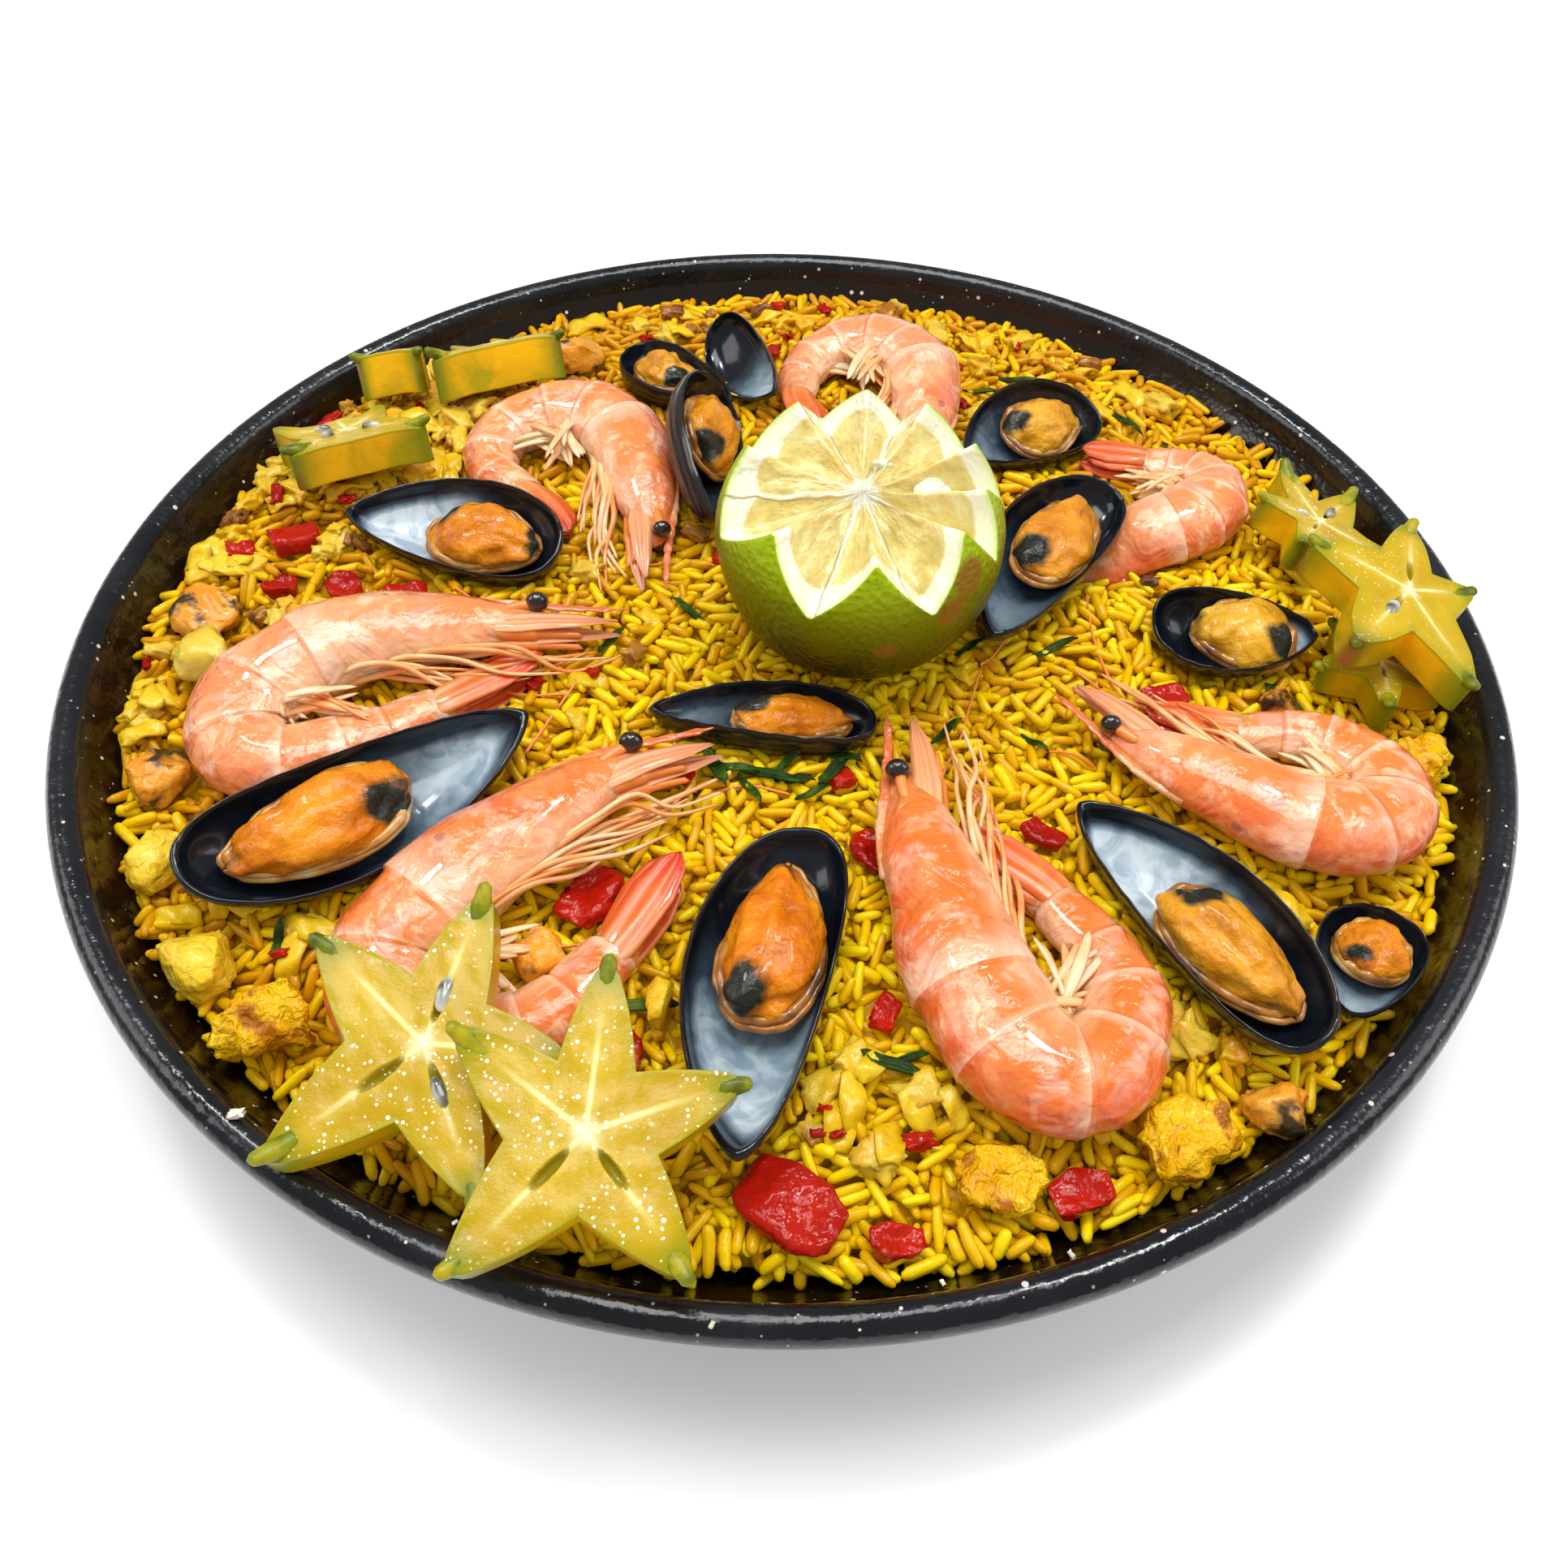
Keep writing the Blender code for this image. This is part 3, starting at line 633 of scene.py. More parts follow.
chicken = cooked("browned_chicken", [(0.78, 0.30, 0.001), (0.92, 0.50, 0.001), (0.94, 0.62, 0.02)], 90.0,
                 0.0022, 0.45, (0.42, 0.13, 0.001))
potato = cooked("boiled_potato", [(0.78, 0.44, 0.010), (0.84, 0.56, 0.025), (0.90, 0.66, 0.08)], 60.0,
                0.0016, 0.42, (0.58, 0.24, 0.004))
onion = cooked("soft_onion", [(0.60, 0.42, 0.02), (0.72, 0.54, 0.06), (0.80, 0.68, 0.20)], 60.0, 0.0004,
               0.30, (0.55, 0.24, 0.01))
loose_meat = cooked("mussel_meat_loose", [(0.70, 0.22, 0.01), (0.82, 0.34, 0.02), (0.72, 0.42, 0.10)],
                    80.0, 0.0006, 0.48, (0.05, 0.03, 0.012))
PIECES = {"chicken": (chicken, 5.0, 2.0), "potato": (potato, 7.0, 0.7), "squash": (potato, 7.0, 0.6),
          "onion": (onion, 6.0, 0.8), "mussel": (loose_meat, 5.5, 1.1)}
for number, node_name in enumerate(sorted(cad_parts)):
    kind = node_name.split("_")[0]
    if kind in PIECES and not (kind == "mussel" and "meat" not in node_name):
        material, size, depth = PIECES[kind]
        bm = from_solid(node_name, 3, 2, 7 if kind in ("potato", "squash", "onion") else 4, number)
        if kind == "squash":
            # It leans on the shell of the front mussel
            sliced(bm, (-0.0196, -0.095, 0.04), (0.988, -0.155, 0.0))
            bmesh.ops.triangulate(bm, faces=bm.faces)
        roughened(bm, size, depth, 3.1 * number)
        piece(node_name + "_cooked", bm, [material], "meat", node_name)

# ---------------------------------------------------------------------------------------------
# Strips and squares of red pepper. They are cut with a knife from a thick-fleshed pod, and fried
# until the skin shines and each one has sagged a little in the middle.

skin_red, tree, shader, at = finish("fried_pepper", {"Roughness": 0.16, "Specular IOR Level": 0.25,
                                                    "Subsurface Weight": 0.1, "Subsurface Scale": 0.002})
patch = patches(tree, at, 55.0, 0.3, 0.7)
red = tinted(tree, patch, (0.26, 0.004, 0.002), (0.52, 0.014, 0.004))
pale = patches(tree, at, 140.0, 0.62, 0.75)
paint(tree, shader, tinted(tree, times(tree, pale, 0.3), red, (0.75, 0.18, 0.03)))
relief(tree, shader, clouds(tree, at, 180.0, 3.0), 0.0020, 0.9)
for number, node_name in enumerate(sorted(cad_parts)):
    if node_name.startswith("pepper"):
        cuts, smooth_steps, planes = (4, 2, 0) if node_name == "pepper_front" else (3, 1, 6)
        bm = from_solid(node_name, cuts, smooth_steps, planes, number)
        low, high = (Vector(f(v.co[i] for v in bm.verts) for i in range(3)) for f in (min, max))
        half = 0.5 * (high - low)
        for vert in bm.verts:
            x, y, z = (vert.co[i] - low[i] - half[i] for i in range(3))
            hollow = max(0.0, 1.0 - (x / half.x) ** 2 - (y / half.y) ** 2)
            vert.co.z -= max(0.0, z) * (0.3 if node_name == "pepper_front" else 0.8) * hollow
        roughened(bm, 8.0, 1.2, 1.7 * number)
        piece(node_name + "_strip", bm, [skin_red], "pepper", node_name)

# ---------------------------------------------------------------------------------------------
# The mussels. Each is half a shell: blue-black outside with growth lines, pearly inside towards
# the beak and dark at the rim. The meat sits in the broad end, orange with a brown frill.

# Beak x, y, broad end x, y, height of the rim, width, depth, roll, the meat's tone (-1 for none),
# and how much of the inside is pearl
MUSSELS = {
    "mussel_back_left": ((-17, 82), (-44, 106), 41, 23, 9, 10, 0.75, 0.35),
    "mussel_back_left_lid": ((-5, 80), (-22, 112), 44, 18, 6, -48, -1, 1.1),
    "mussel_behind_lime": ((-18, 27), (-19, 79), 48, 27, 10, 58, 0.5, 0.25),
    "mussel_back_right": ((44, 61), (79, 84), 42, 26, 9, 12, 0.8, 0.6),
    "mussel_beside_lime": ((44, -9), (76, 45), 47, 25, 10, 8, 0.45, 0.6),
    "mussel_right": ((120, -3), (83, 1), 42, 23, 9, -10, 1.0, 1.8),
    "mussel_lower_right": ((61, -53), (98, -107), 44, 25, 11, 6, 0.62, 1.7),
    "mussel_front": ((-8, -132), (3, -62), 44, 28, 11, -4, 0.1, 1.15),
    "mussel_left": ((-52, -37), (-113, -80), 46, 28, 11, -15, 0.2, 0.95),
    "mussel_upper_left": ((-106, 34), (-53, 21), 43, 27, 10, 12, 0.3, 1.6),
    "mussel_middle": ((-29, -27), (20, -30), 41, 20, 8, -12, 0.15, 0.5),
    "mussel_small": ((104, -99), (118, -76), 40, 20, 7, 0, 0.3, 0.8),
}
SHELL_LIP = 0.945


def wrapped(segments, rings, place):
    """A closed ball whose points move to place(around, down), arrays of shares from 0 to 1. It gives
    the new points and the values to keep on them by name."""
    bm = bmesh.new()
    bmesh.ops.create_uvsphere(bm, u_segments=segments, v_segments=rings, radius=1.0)
    ball = np.array([v.co[:] for v in bm.verts])
    down = np.arccos(np.clip(ball[:, 2], -1.0, 1.0)) / math.pi
    around = (np.arctan2(ball[:, 1], ball[:, 0]) / math.tau) % 1.0
    points, kept = place(around, down)
    for vert, co in zip(bm.verts, points * MM):
        vert.co = co
    for label, values in kept.items():
        layer = bm.verts.layers.float.new(label)
        for vert, value in zip(bm.verts, values):
            vert[layer] = value
    bmesh.ops.recalc_face_normals(bm, faces=bm.faces)
    if bm.calc_volume(signed=True) < 0.0:
        bmesh.ops.reverse_faces(bm, faces=bm.faces)
    return bm


def add_to(whole, bm):
    """Adds one bmesh to another."""
    mesh = bpy.data.meshes.new("part")
    bm.to_mesh(mesh)
    bm.free()
    whole.from_mesh(mesh)
    bpy.data.meshes.remove(mesh)


def gathered(parts):
    """Joins bmeshes into one; each comes with the number of its finish."""
    whole = bmesh.new()
    for bm, number in parts:
        for face in bm.faces:
            face.material_index = number
        add_to(whole, bm)
    return whole


def waves(points, size, seed):
    """Smooth 3-D noise of about -1 to 1 on an array of points in mm."""
    dice = np.random.default_rng(seed)
    total = np.zeros(len(points))
    for _ in range(8):
        way = dice.normal(size=3)
        way *= math.tau / (size * dice.uniform(1.2, 2.6)) / np.linalg.norm(way)
        total += np.sin(points @ way + dice.uniform(0, math.tau))
    return total / 3.2


def frames_along(route, t):
    """Points of the smooth curve through a route, with its directions forward, to the right and up."""
    route = np.array(route, dtype=float)
    lengths = np.linalg.norm(np.diff(route, axis=0), axis=1)
    ends = np.concatenate([[0.0], np.cumsum(lengths)])
    knots = np.vstack([2 * route[0] - route[1], route, 2 * route[-1] - route[-2]])

    def point(t):
        reach = np.clip(t, 0.0, 1.0) * ends[-1]
        i = np.clip(np.searchsorted(ends, reach, side="right") - 1, 0, len(lengths) - 1)
        k = ((reach - ends[i]) / lengths[i])[:, None]
        a, b, c, d = knots[i], knots[i + 1], knots[i + 2], knots[i + 3]
        return 0.5 * (2 * b + (c - a) * k + (2 * a - 5 * b + 4 * c - d) * k ** 2
                      + (3 * b - a - 3 * c + d) * k ** 3)

    t = np.atleast_1d(np.asarray(t, dtype=float))
    forward = point(np.minimum(1.0, t + 0.01)) - point(np.maximum(0.0, t - 0.01))
    forward /= np.linalg.norm(forward, axis=1)[:, None]
    right = np.cross(forward, [0.0, 0.0, 1.0])
    right /= np.linalg.norm(right, axis=1)[:, None]
    return point(t), forward, right, np.cross(right, forward)


def limb(route, wide, thick, sides=6, rings=10, kept=None):
    """A tapered strand or blade along a route; wide and thick are half sizes as (shares, values)."""
    def place(around, down):
        middle, _, right, up = frames_along(route, down)
        turn = around * math.tau
        half_wide = np.interp(down, *wide) * np.cos(turn)
        half_thick = np.interp(down, *thick) * np.sin(turn)
        values = {"along": down, "girth": np.cos(turn)}
        values.update({key: np.full(len(down), value) for key, value in (kept or {}).items()})
        return middle + right * half_wide[:, None] + up * half_thick[:, None], values
    return wrapped(sides, rings, place)


def read(tree, label):
    return put(tree, "Attribute", out=2, attribute_name=label)


shell_black, tree, shader, at = finish("mussel_outside",
                                       {"Coat Weight": 0.2, "Coat Roughness": 0.04,
                                        "Specular IOR Level": 0.35})
spread = read(tree, "spread")
rings = calc(tree, "SINE", times(tree, spread, 110.0))
patch = patches(tree, at, 70.0)
lines = times(tree, share(tree, rings, 0.55, 1.0), times(tree, patch, 0.55))
paint(tree, shader, tinted(tree, lines, (0.008, 0.009, 0.014), (0.11, 0.055, 0.018)))
tree.links.new(share(tree, patch, 0.0, 1.0, 0.22, 0.42), shader["Roughness"])
relief(tree, shader, rings, 0.0001, 0.8)

shell_pearl, tree, shader, at = finish("mussel_inside",
                                       {"Coat Weight": 0.3, "Coat Roughness": 0.03,
                                        "Specular IOR Level": 0.35})
spread, length_share = read(tree, "spread"), read(tree, "length_share")
patch = clouds(tree, at, 55.0, 3.0)
wander = swing(tree, patch, 0.45)
from_rim = share(tree, plus(tree, spread, times(tree, wander, 0.3)), 0.93, 0.80)
to_beak = share(tree, plus(tree, length_share, wander), 0.66, 0.16)
pearl = times(tree, times(tree, from_rim, to_beak), read(tree, "nacre"))
pearl = calc(tree, "MINIMUM", pearl, 1.0)
bright = ramp(tree, pearl, [(0.0, (0.006, 0.009, 0.014)), (0.3, (0.040, 0.060, 0.085)),
                            (0.60, (0.20, 0.27, 0.32)), (0.85, (0.40, 0.48, 0.53)),
                            (1.0, (0.58, 0.66, 0.70))])
streak = clouds(tree, at, 160.0, 4.0, Distortion=1.2)
clouded = tinted(tree, share(tree, streak, 0.42, 0.62, 0.0, 0.8), bright, (0.46, 0.56, 0.64), "MULTIPLY")
fleck = flecked(tree, at, 260.0, 0.16, 0.05)
lip = share(tree, spread, 0.985, 1.0)
lipped = tinted(tree, times(tree, lip, 0.8), clouded, (0.035, 0.022, 0.014))
paint(tree, shader, tinted(tree, fleck, lipped, (0.02, 0.02, 0.01)))
tree.links.new(share(tree, pearl, 0.0, 1.0, 0.16, 0.26), shader["Roughness"])
relief(tree, shader, clouds(tree, at, 130.0), 0.0003, 0.5)

meat_skin, tree, shader, at = finish("mussel_meat",
                                     {"Roughness": 0.26, "Coat Weight": 0.2, "Coat Roughness": 0.02,
                                      "Specular IOR Level": 0.25, "Subsurface Weight": 0.25,
                                      "Subsurface Scale": 0.003})
patch = clouds(tree, at, 95.0, 4.0, Roughness=0.6)
orange = ramp(tree, patch, [(0.30, (0.50, 0.10, 0.001)), (0.50, (0.72, 0.18, 0.001)),
                            (0.70, (0.84, 0.28, 0.001))])
ochre = ramp(tree, patch, [(0.30, (0.44, 0.18, 0.004)), (0.50, (0.70, 0.36, 0.016)),
                           (0.70, (0.82, 0.52, 0.08))])
flesh = tinted(tree, read(tree, "tone"), orange, ochre)
gut = share(tree, plus(tree, read(tree, "gut"), times(tree, patch, 1.2)), 0.98, 1.25)
paint(tree, shader, tinted(tree, gut, flesh, (0.020, 0.022, 0.014)))
relief(tree, shader, clouds(tree, at, 230.0, 4.0), 0.0020, 0.9)

frill_skin, tree, shader, at = finish("mussel_frill",
                                      {"Roughness": 0.3, "Coat Weight": 0.5, "Subsurface Weight": 0.2,
                                       "Subsurface Scale": 0.002})
patch = clouds(tree, at, 130.0, 3.0)
paint(tree, shader, ramp(tree, patch, [(0.30, (0.08, 0.03, 0.008)), (0.48, (0.40, 0.15, 0.02)),
                                       (0.62, (0.62, 0.30, 0.06)), (0.75, (0.72, 0.50, 0.24))]))


def make_mussel(number, name, spec):
    beak, end, height, wide, depth, roll, tone, nacre = spec
    start, stop = Vector((*beak, height)), Vector((*end, height))
    length = (stop - start).length
    heading = math.atan2(stop.y - start.y, stop.x - start.x)
    lean = Matrix.Rotation(heading, 4, "Z") @ Matrix.Rotation(math.radians(roll), 4, "X")
    seat = Matrix.Translation(start) @ lean
    turn_matrix, shift = np.array(seat.to_3x3()), np.array(seat.translation)
    middle = np.array([0.58 * length, 0.0])

    def outline(around):
        turn = around * math.tau
        length_share = 0.5 * (1.0 - np.cos(turn))
        half = 0.5 * wide * length_share ** 0.66 * (1.0 - length_share) ** 0.42 / 0.486
        bow = 0.05 * length * np.sin(math.pi * length_share)
        return length_share * length, np.where(np.sin(turn) >= 0, half, -half) + bow - 0.025 * length

    def shell(around, down):
        edge_x, edge_y = outline(around)
        spread = np.sin(math.pi * down)
        x = middle[0] + (edge_x - middle[0]) * spread
        y = middle[1] + (edge_y - middle[1]) * spread
        outer = -depth * np.sqrt(np.maximum(0.0, 1.0 - spread ** 2.4))
        inner = -(depth - 1.5) * np.sqrt(np.maximum(0.0, 1.0 - (spread / SHELL_LIP) ** 2.4))
        inner += np.where(spread > SHELL_LIP, 0.6 * np.sin(math.pi * (spread - SHELL_LIP) / 0.055), 0.0)
        z = np.where(down > 0.5, outer, inner)
        ripple = 0.12 * np.sin(spread * 60.0) * np.where(down > 0.5, 1.0, 0.0)
        z += ripple + 0.35 * np.sin(around * math.tau * 2 + number) * spread
        chips = waves(np.stack([x, y, z * 0.0], axis=1), 2.2, number + 9)
        z += 0.22 * chips * np.clip((spread - 0.9) / 0.08, 0.0, 1.0)
        points = np.stack([x, y, z], axis=1) @ turn_matrix.T + shift
        return points, {"spread": spread, "length_share": x / length, "nacre": np.full(len(x), nacre)}

    bm = wrapped(80, 56, shell)
    layer = bm.verts.layers.float["spread"]
    inner_up = Vector(turn_matrix[:, 2])
    for face in bm.faces:
        face.material_index = int(face.normal.dot(inner_up) > 0.0
                                  or min(v[layer] for v in face.verts) > 0.985)
    whole = bmesh.new()
    add_to(whole, bm)
    if tone < 0:
        return whole
    rise = 0.5 + 0.5 * (number % 3)
    # The meat sits in the broad end, but one is larger and has slid towards the beak
    sits, grown = (0.44, 1.2) if name == "mussel_right" else (0.63, 1.0)
    half_long, half_wide = 0.24 * length * grown, 0.32 * wide * grown

    def body(around, down):
        turn = around * math.tau
        away = np.sin(math.pi * down)
        x, y, z = np.cos(math.pi * down), away * np.cos(turn), away * np.sin(turn)
        ball = np.stack([x, y, z], axis=1)
        lumps = 1.0 + 0.09 * waves(ball * 10.0, 6.0, number) + 0.05 * waves(ball * 10.0, 2.5, number + 40)
        slit = np.exp(-((y + 0.25 + 0.1 * x) / 0.10) ** 2) * (z > 0.0)
        px = sits * length + half_long * x * lumps
        py = half_wide * y * lumps * (1.0 - 0.18 * x)
        pz = -0.35 * depth + rise + 0.62 * depth * z * lumps - 0.9 * slit * (1.0 - x * x)
        points = np.stack([px, py, pz], axis=1) @ turn_matrix.T + shift
        gut = 0.95 * np.exp(-((x + 0.72) / 0.36) ** 2 - ((y - 0.30) / 0.55) ** 2)
        gut += 0.55 * np.exp(-((x - 0.95) / 0.2) ** 2)
        return points, {"gut": gut, "tone": np.full(len(x), tone)}

    parts = [(wrapped(44, 34, body), 2)]
    for ring, (grow, drop) in enumerate(((0.97, 1.2), (1.06, 2.0))):
        def edge(around, down, grow=grow, drop=drop, ring=ring):
            turn, across = down * math.tau, around * math.tau
            wave = np.sin(turn * 3 + number + ring) + 0.6 * np.sin(turn * 7 + 2 * number)
            wave += 0.3 * np.sin(turn * 16)
            out = grow + 0.03 * wave
            thick, tall = (1.1 - 0.4 * ring) * np.cos(across), (1.0 - 0.2 * ring) * np.sin(across)
            px = sits * length + (half_long * out + thick) * np.cos(turn)
            py = (half_wide * out + thick) * np.sin(turn) * (1.0 - 0.18 * np.cos(turn))
            pz = -0.35 * depth + rise + 1.0 - drop + 0.35 * wave + tall
            points = np.stack([px, py, pz], axis=1) @ turn_matrix.T + shift
            return points, {}
        parts.append((wrapped(7, 150, edge), 3))
    add_to(whole, gathered(parts))
    return whole


for number, (node_name, spec) in enumerate(MUSSELS.items()):
    bm = make_mussel(number, node_name, spec)
    piece(node_name + "_shell", bm, [shell_black, shell_pearl, meat_skin, frill_skin], "mussel", node_name)

# ---------------------------------------------------------------------------------------------
# The prawns. Boiled whole in the shell: a head shield with beak, eyes, feeler scales and thin legs,
# then shell rings that overlap like tiles, cream swimming legs under them, and a folded tail fan.

PRAWNS = {
    "prawn_back": [(30, 50, 39), (33, 66, 41), (35, 84, 42), (33, 99, 42), (23, 109, 42),
                   (11, 108, 40), (3, 99, 39), (2, 86, 38), (7, 75, 38)],
    "prawn_upper_left": [(-31, 14, 39), (-33, 30, 41), (-37, 47, 42), (-42, 63, 42), (-51, 73, 42),
                         (-63, 74, 41), (-74, 67, 40), (-75, 54, 39), (-65, 45, 38), (-54, 33, 38)],
    "prawn_left": [(-40, -2, 41), (-54, -5, 43), (-70, -7, 43), (-88, -9, 43), (-103, -15, 42),
                   (-114, -27, 41), (-114, -39, 40), (-105, -44, 39), (-93, -39, 38), (-78, -30, 38),
                   (-57, -15, 40)],
    "prawn_lower_left": [(-16, -39, 42), (-32, -47, 43), (-48, -61, 43), (-63, -75, 41),
                         (-73, -90, 38), (-68, -103, 37), (-55, -107, 37), (-42, -103, 38),
                         (-31, -89, 39), (-22, -71, 41)],
    "prawn_front": [(25, -33, 42), (27, -57, 43), (31, -76, 43), (35, -94, 43), (43, -111, 43),
                    (55, -114, 42), (63, -102, 41), (61, -88, 40), (51, -73, 39), (38, -63, 40)],
    "prawn_right": [(62, -23, 42), (74, -37, 43), (90, -48, 43), (107, -58, 43), (120, -56, 42),
                    (124, -45, 41), (117, -34, 40), (105, -30, 39), (92, -29, 38), (80, -28, 40)],
    "prawn_upper_right": [(60, 20, 26), (72, 28, 30), (86, 34, 38), (98, 38, 41), (105, 46, 41),
                          (104, 55, 40), (96, 61, 39), (87, 62, 39), (78, 64, 39)],
}
# How orange (0) or pink and pale (1) each one is
PRAWN_TONES = (0.85, 0.50, 0.7, 0.15, -0.05, 0.35, 0.85)
PRAWN_LENGTH = 150.0
PRAWN_FLATNESS = 0.74
RING_ENDS = np.array([0.0, 0.42, 0.50, 0.58, 0.66, 0.735, 0.80, 0.875, 0.96])
BODY_AT = [0.078, 0.086, 0.10, 0.13, 0.18, 0.22, 0.33, 0.42, 0.50, 0.57, 0.67, 0.77, 0.83, 0.875, 0.90,
           0.915]
BODY_DEPTH = [0.0, 4.6, 7.0, 9.4, 14.2, 17.2, 21.6, 23.2, 23.0, 21.6, 17.6, 14.0, 11.8, 9.5, 7.0, 0.0]

shell_pink, tree, shader, at = finish("prawn_shell",
                                      {"Roughness": 0.24, "Coat Weight": 0.6, "Coat Roughness": 0.02,
                                       "Subsurface Weight": 0.3, "Subsurface Scale": 0.004})
along, girth, ring = read(tree, "along"), read(tree, "girth"), read(tree, "ring")
patch = clouds(tree, at, 42.0, 3.0, Distortion=0.6)
warm = share(tree, calc(tree, "SUBTRACT", plus(tree, read(tree, "tone"), patch), 0.5), 0.0, 0.9)
base = ramp(tree, warm, [(0.0, (0.82, 0.19, 0.025)), (0.5, (0.86, 0.26, 0.06)), (1.0, (0.87, 0.30, 0.12))])
cooler = share(tree, read(tree, "tone"), 0.0, 0.6, 0.32, 0.62)
streaks = clouds(tree, at, 150.0, 3.0, Distortion=1.5)
belly = share(tree, girth, -0.35, -0.95, 0.0, 0.7)
ridge = times(tree, share(tree, girth, 0.45, 0.95), share(tree, streaks, 0.40, 0.58, 0.15, 0.85))
edge = times(tree, share(tree, ring, 0.80, 0.97), share(tree, along, 0.36, 0.40))
seam = times(tree, share(tree, ring, 0.0, 0.07, 1.0, 0.0), share(tree, along, 0.41, 0.43))
head = times(tree, share(tree, along, 0.24, 0.12), share(tree, streaks, 0.38, 0.6, 0.2, 0.8))
where = times(tree, share(tree, along, 0.43, 0.38), share(tree, girth, -0.1, 0.5))
where = times(tree, where, patches(tree, at, 60.0, 0.44, 0.56))
paint(tree, shader, layered(
    tree, base,
    (patches(tree, at, 85.0, 0.46, 0.60), cooler, (0.93, 0.46, 0.21)),
    (patches(tree, at, 120.0, 0.56, 0.66), 0.6, (0.88, 0.40, 0.30)),
    (patches(tree, at, 66.0, 0.40, 0.30), 0.65, (0.82, 0.14, 0.025)),
    (patches(tree, at, 170.0, 0.56, 0.64), cooler, (0.96, 0.66, 0.46)),
    (flecked(tree, at, 520.0, 0.20, 0.22), 0.5, (0.74, 0.13, 0.04)),
    (belly, 1.0, (0.92, 0.58, 0.35)),
    (ridge, 1.0, (0.80, 0.12, 0.03)),
    (edge, 0.55, (0.97, 0.70, 0.52)),
    (seam, 0.75, (0.74, 0.14, 0.04)),
    (head, 1.0, (0.88, 0.22, 0.05)),
    (times(tree, flecked(tree, at, 260.0, 0.35, 0.35), where), 0.6, (0.30, 0.10, 0.07))))
wrinkle = clouds(tree, at, 240.0, 3.0, Roughness=0.6)
crease = clouds(tree, at, 105.0, 2.0, Distortion=1.4)
height = plus(tree, times(tree, wrinkle, 0.7), times(tree, patch, 3.0))
relief(tree, shader, plus(tree, height, times(tree, crease, 1.6)), 0.0011, 0.9)

leg_cream, tree, shader, at = finish("prawn_legs", {"Roughness": 0.35, "Coat Weight": 0.3,
                                                   "Subsurface Weight": 0.3, "Subsurface Scale": 0.002})
patch = clouds(tree, at, 110.0, 2.0)
fade = plus(tree, times(tree, read(tree, "tone"), 0.6), times(tree, patch, 0.8))
paint(tree, shader, ramp(tree, fade, [(0.25, (0.92, 0.66, 0.40)), (0.50, (0.90, 0.48, 0.20)),
                                      (0.75, (0.86, 0.26, 0.05))]))
relief(tree, shader, clouds(tree, at, 300.0), 0.0004)

eye_black, tree, shader, at = finish("prawn_eye",
                                     {"Roughness": 0.12, "Coat Weight": 1.0, "Coat Roughness": 0.03})
cells = put(tree, "TexVoronoi", {"Vector": at, "Scale": 2200.0})
paint(tree, shader, ramp(tree, cells, [(0.0, (0.006, 0.005, 0.006)), (1.0, (0.03, 0.018, 0.014))]))
relief(tree, shader, cells, 0.0001, 0.5)

fan_red, tree, shader, at = finish("prawn_fan", {"Roughness": 0.3, "Coat Weight": 0.5,
                                                 "Coat Roughness": 0.07, "Subsurface Weight": 0.2,
                                                 "Subsurface Scale": 0.002})
along, girth = read(tree, "along"), read(tree, "girth")
ribs = calc(tree, "SINE", times(tree, girth, 8.0))
patch = clouds(tree, at, 120.0, 3.0, Distortion=1.0)
hot = plus(tree, times(tree, along, 0.6), times(tree, patch, 0.7))
red = ramp(tree, hot, [(0.35, (0.88, 0.32, 0.10)), (0.6, (0.84, 0.16, 0.025)), (0.95, (0.64, 0.05, 0.010))])
red = tinted(tree, share(tree, ribs, 0.3, 1.0, 0.0, 0.18), red, (0.95, 0.48, 0.24))
paint(tree, shader, tinted(tree, times(tree, read(tree, "pale"), 0.6), red, (0.92, 0.46, 0.22)))
relief(tree, shader, ribs, 0.0003, 0.7)


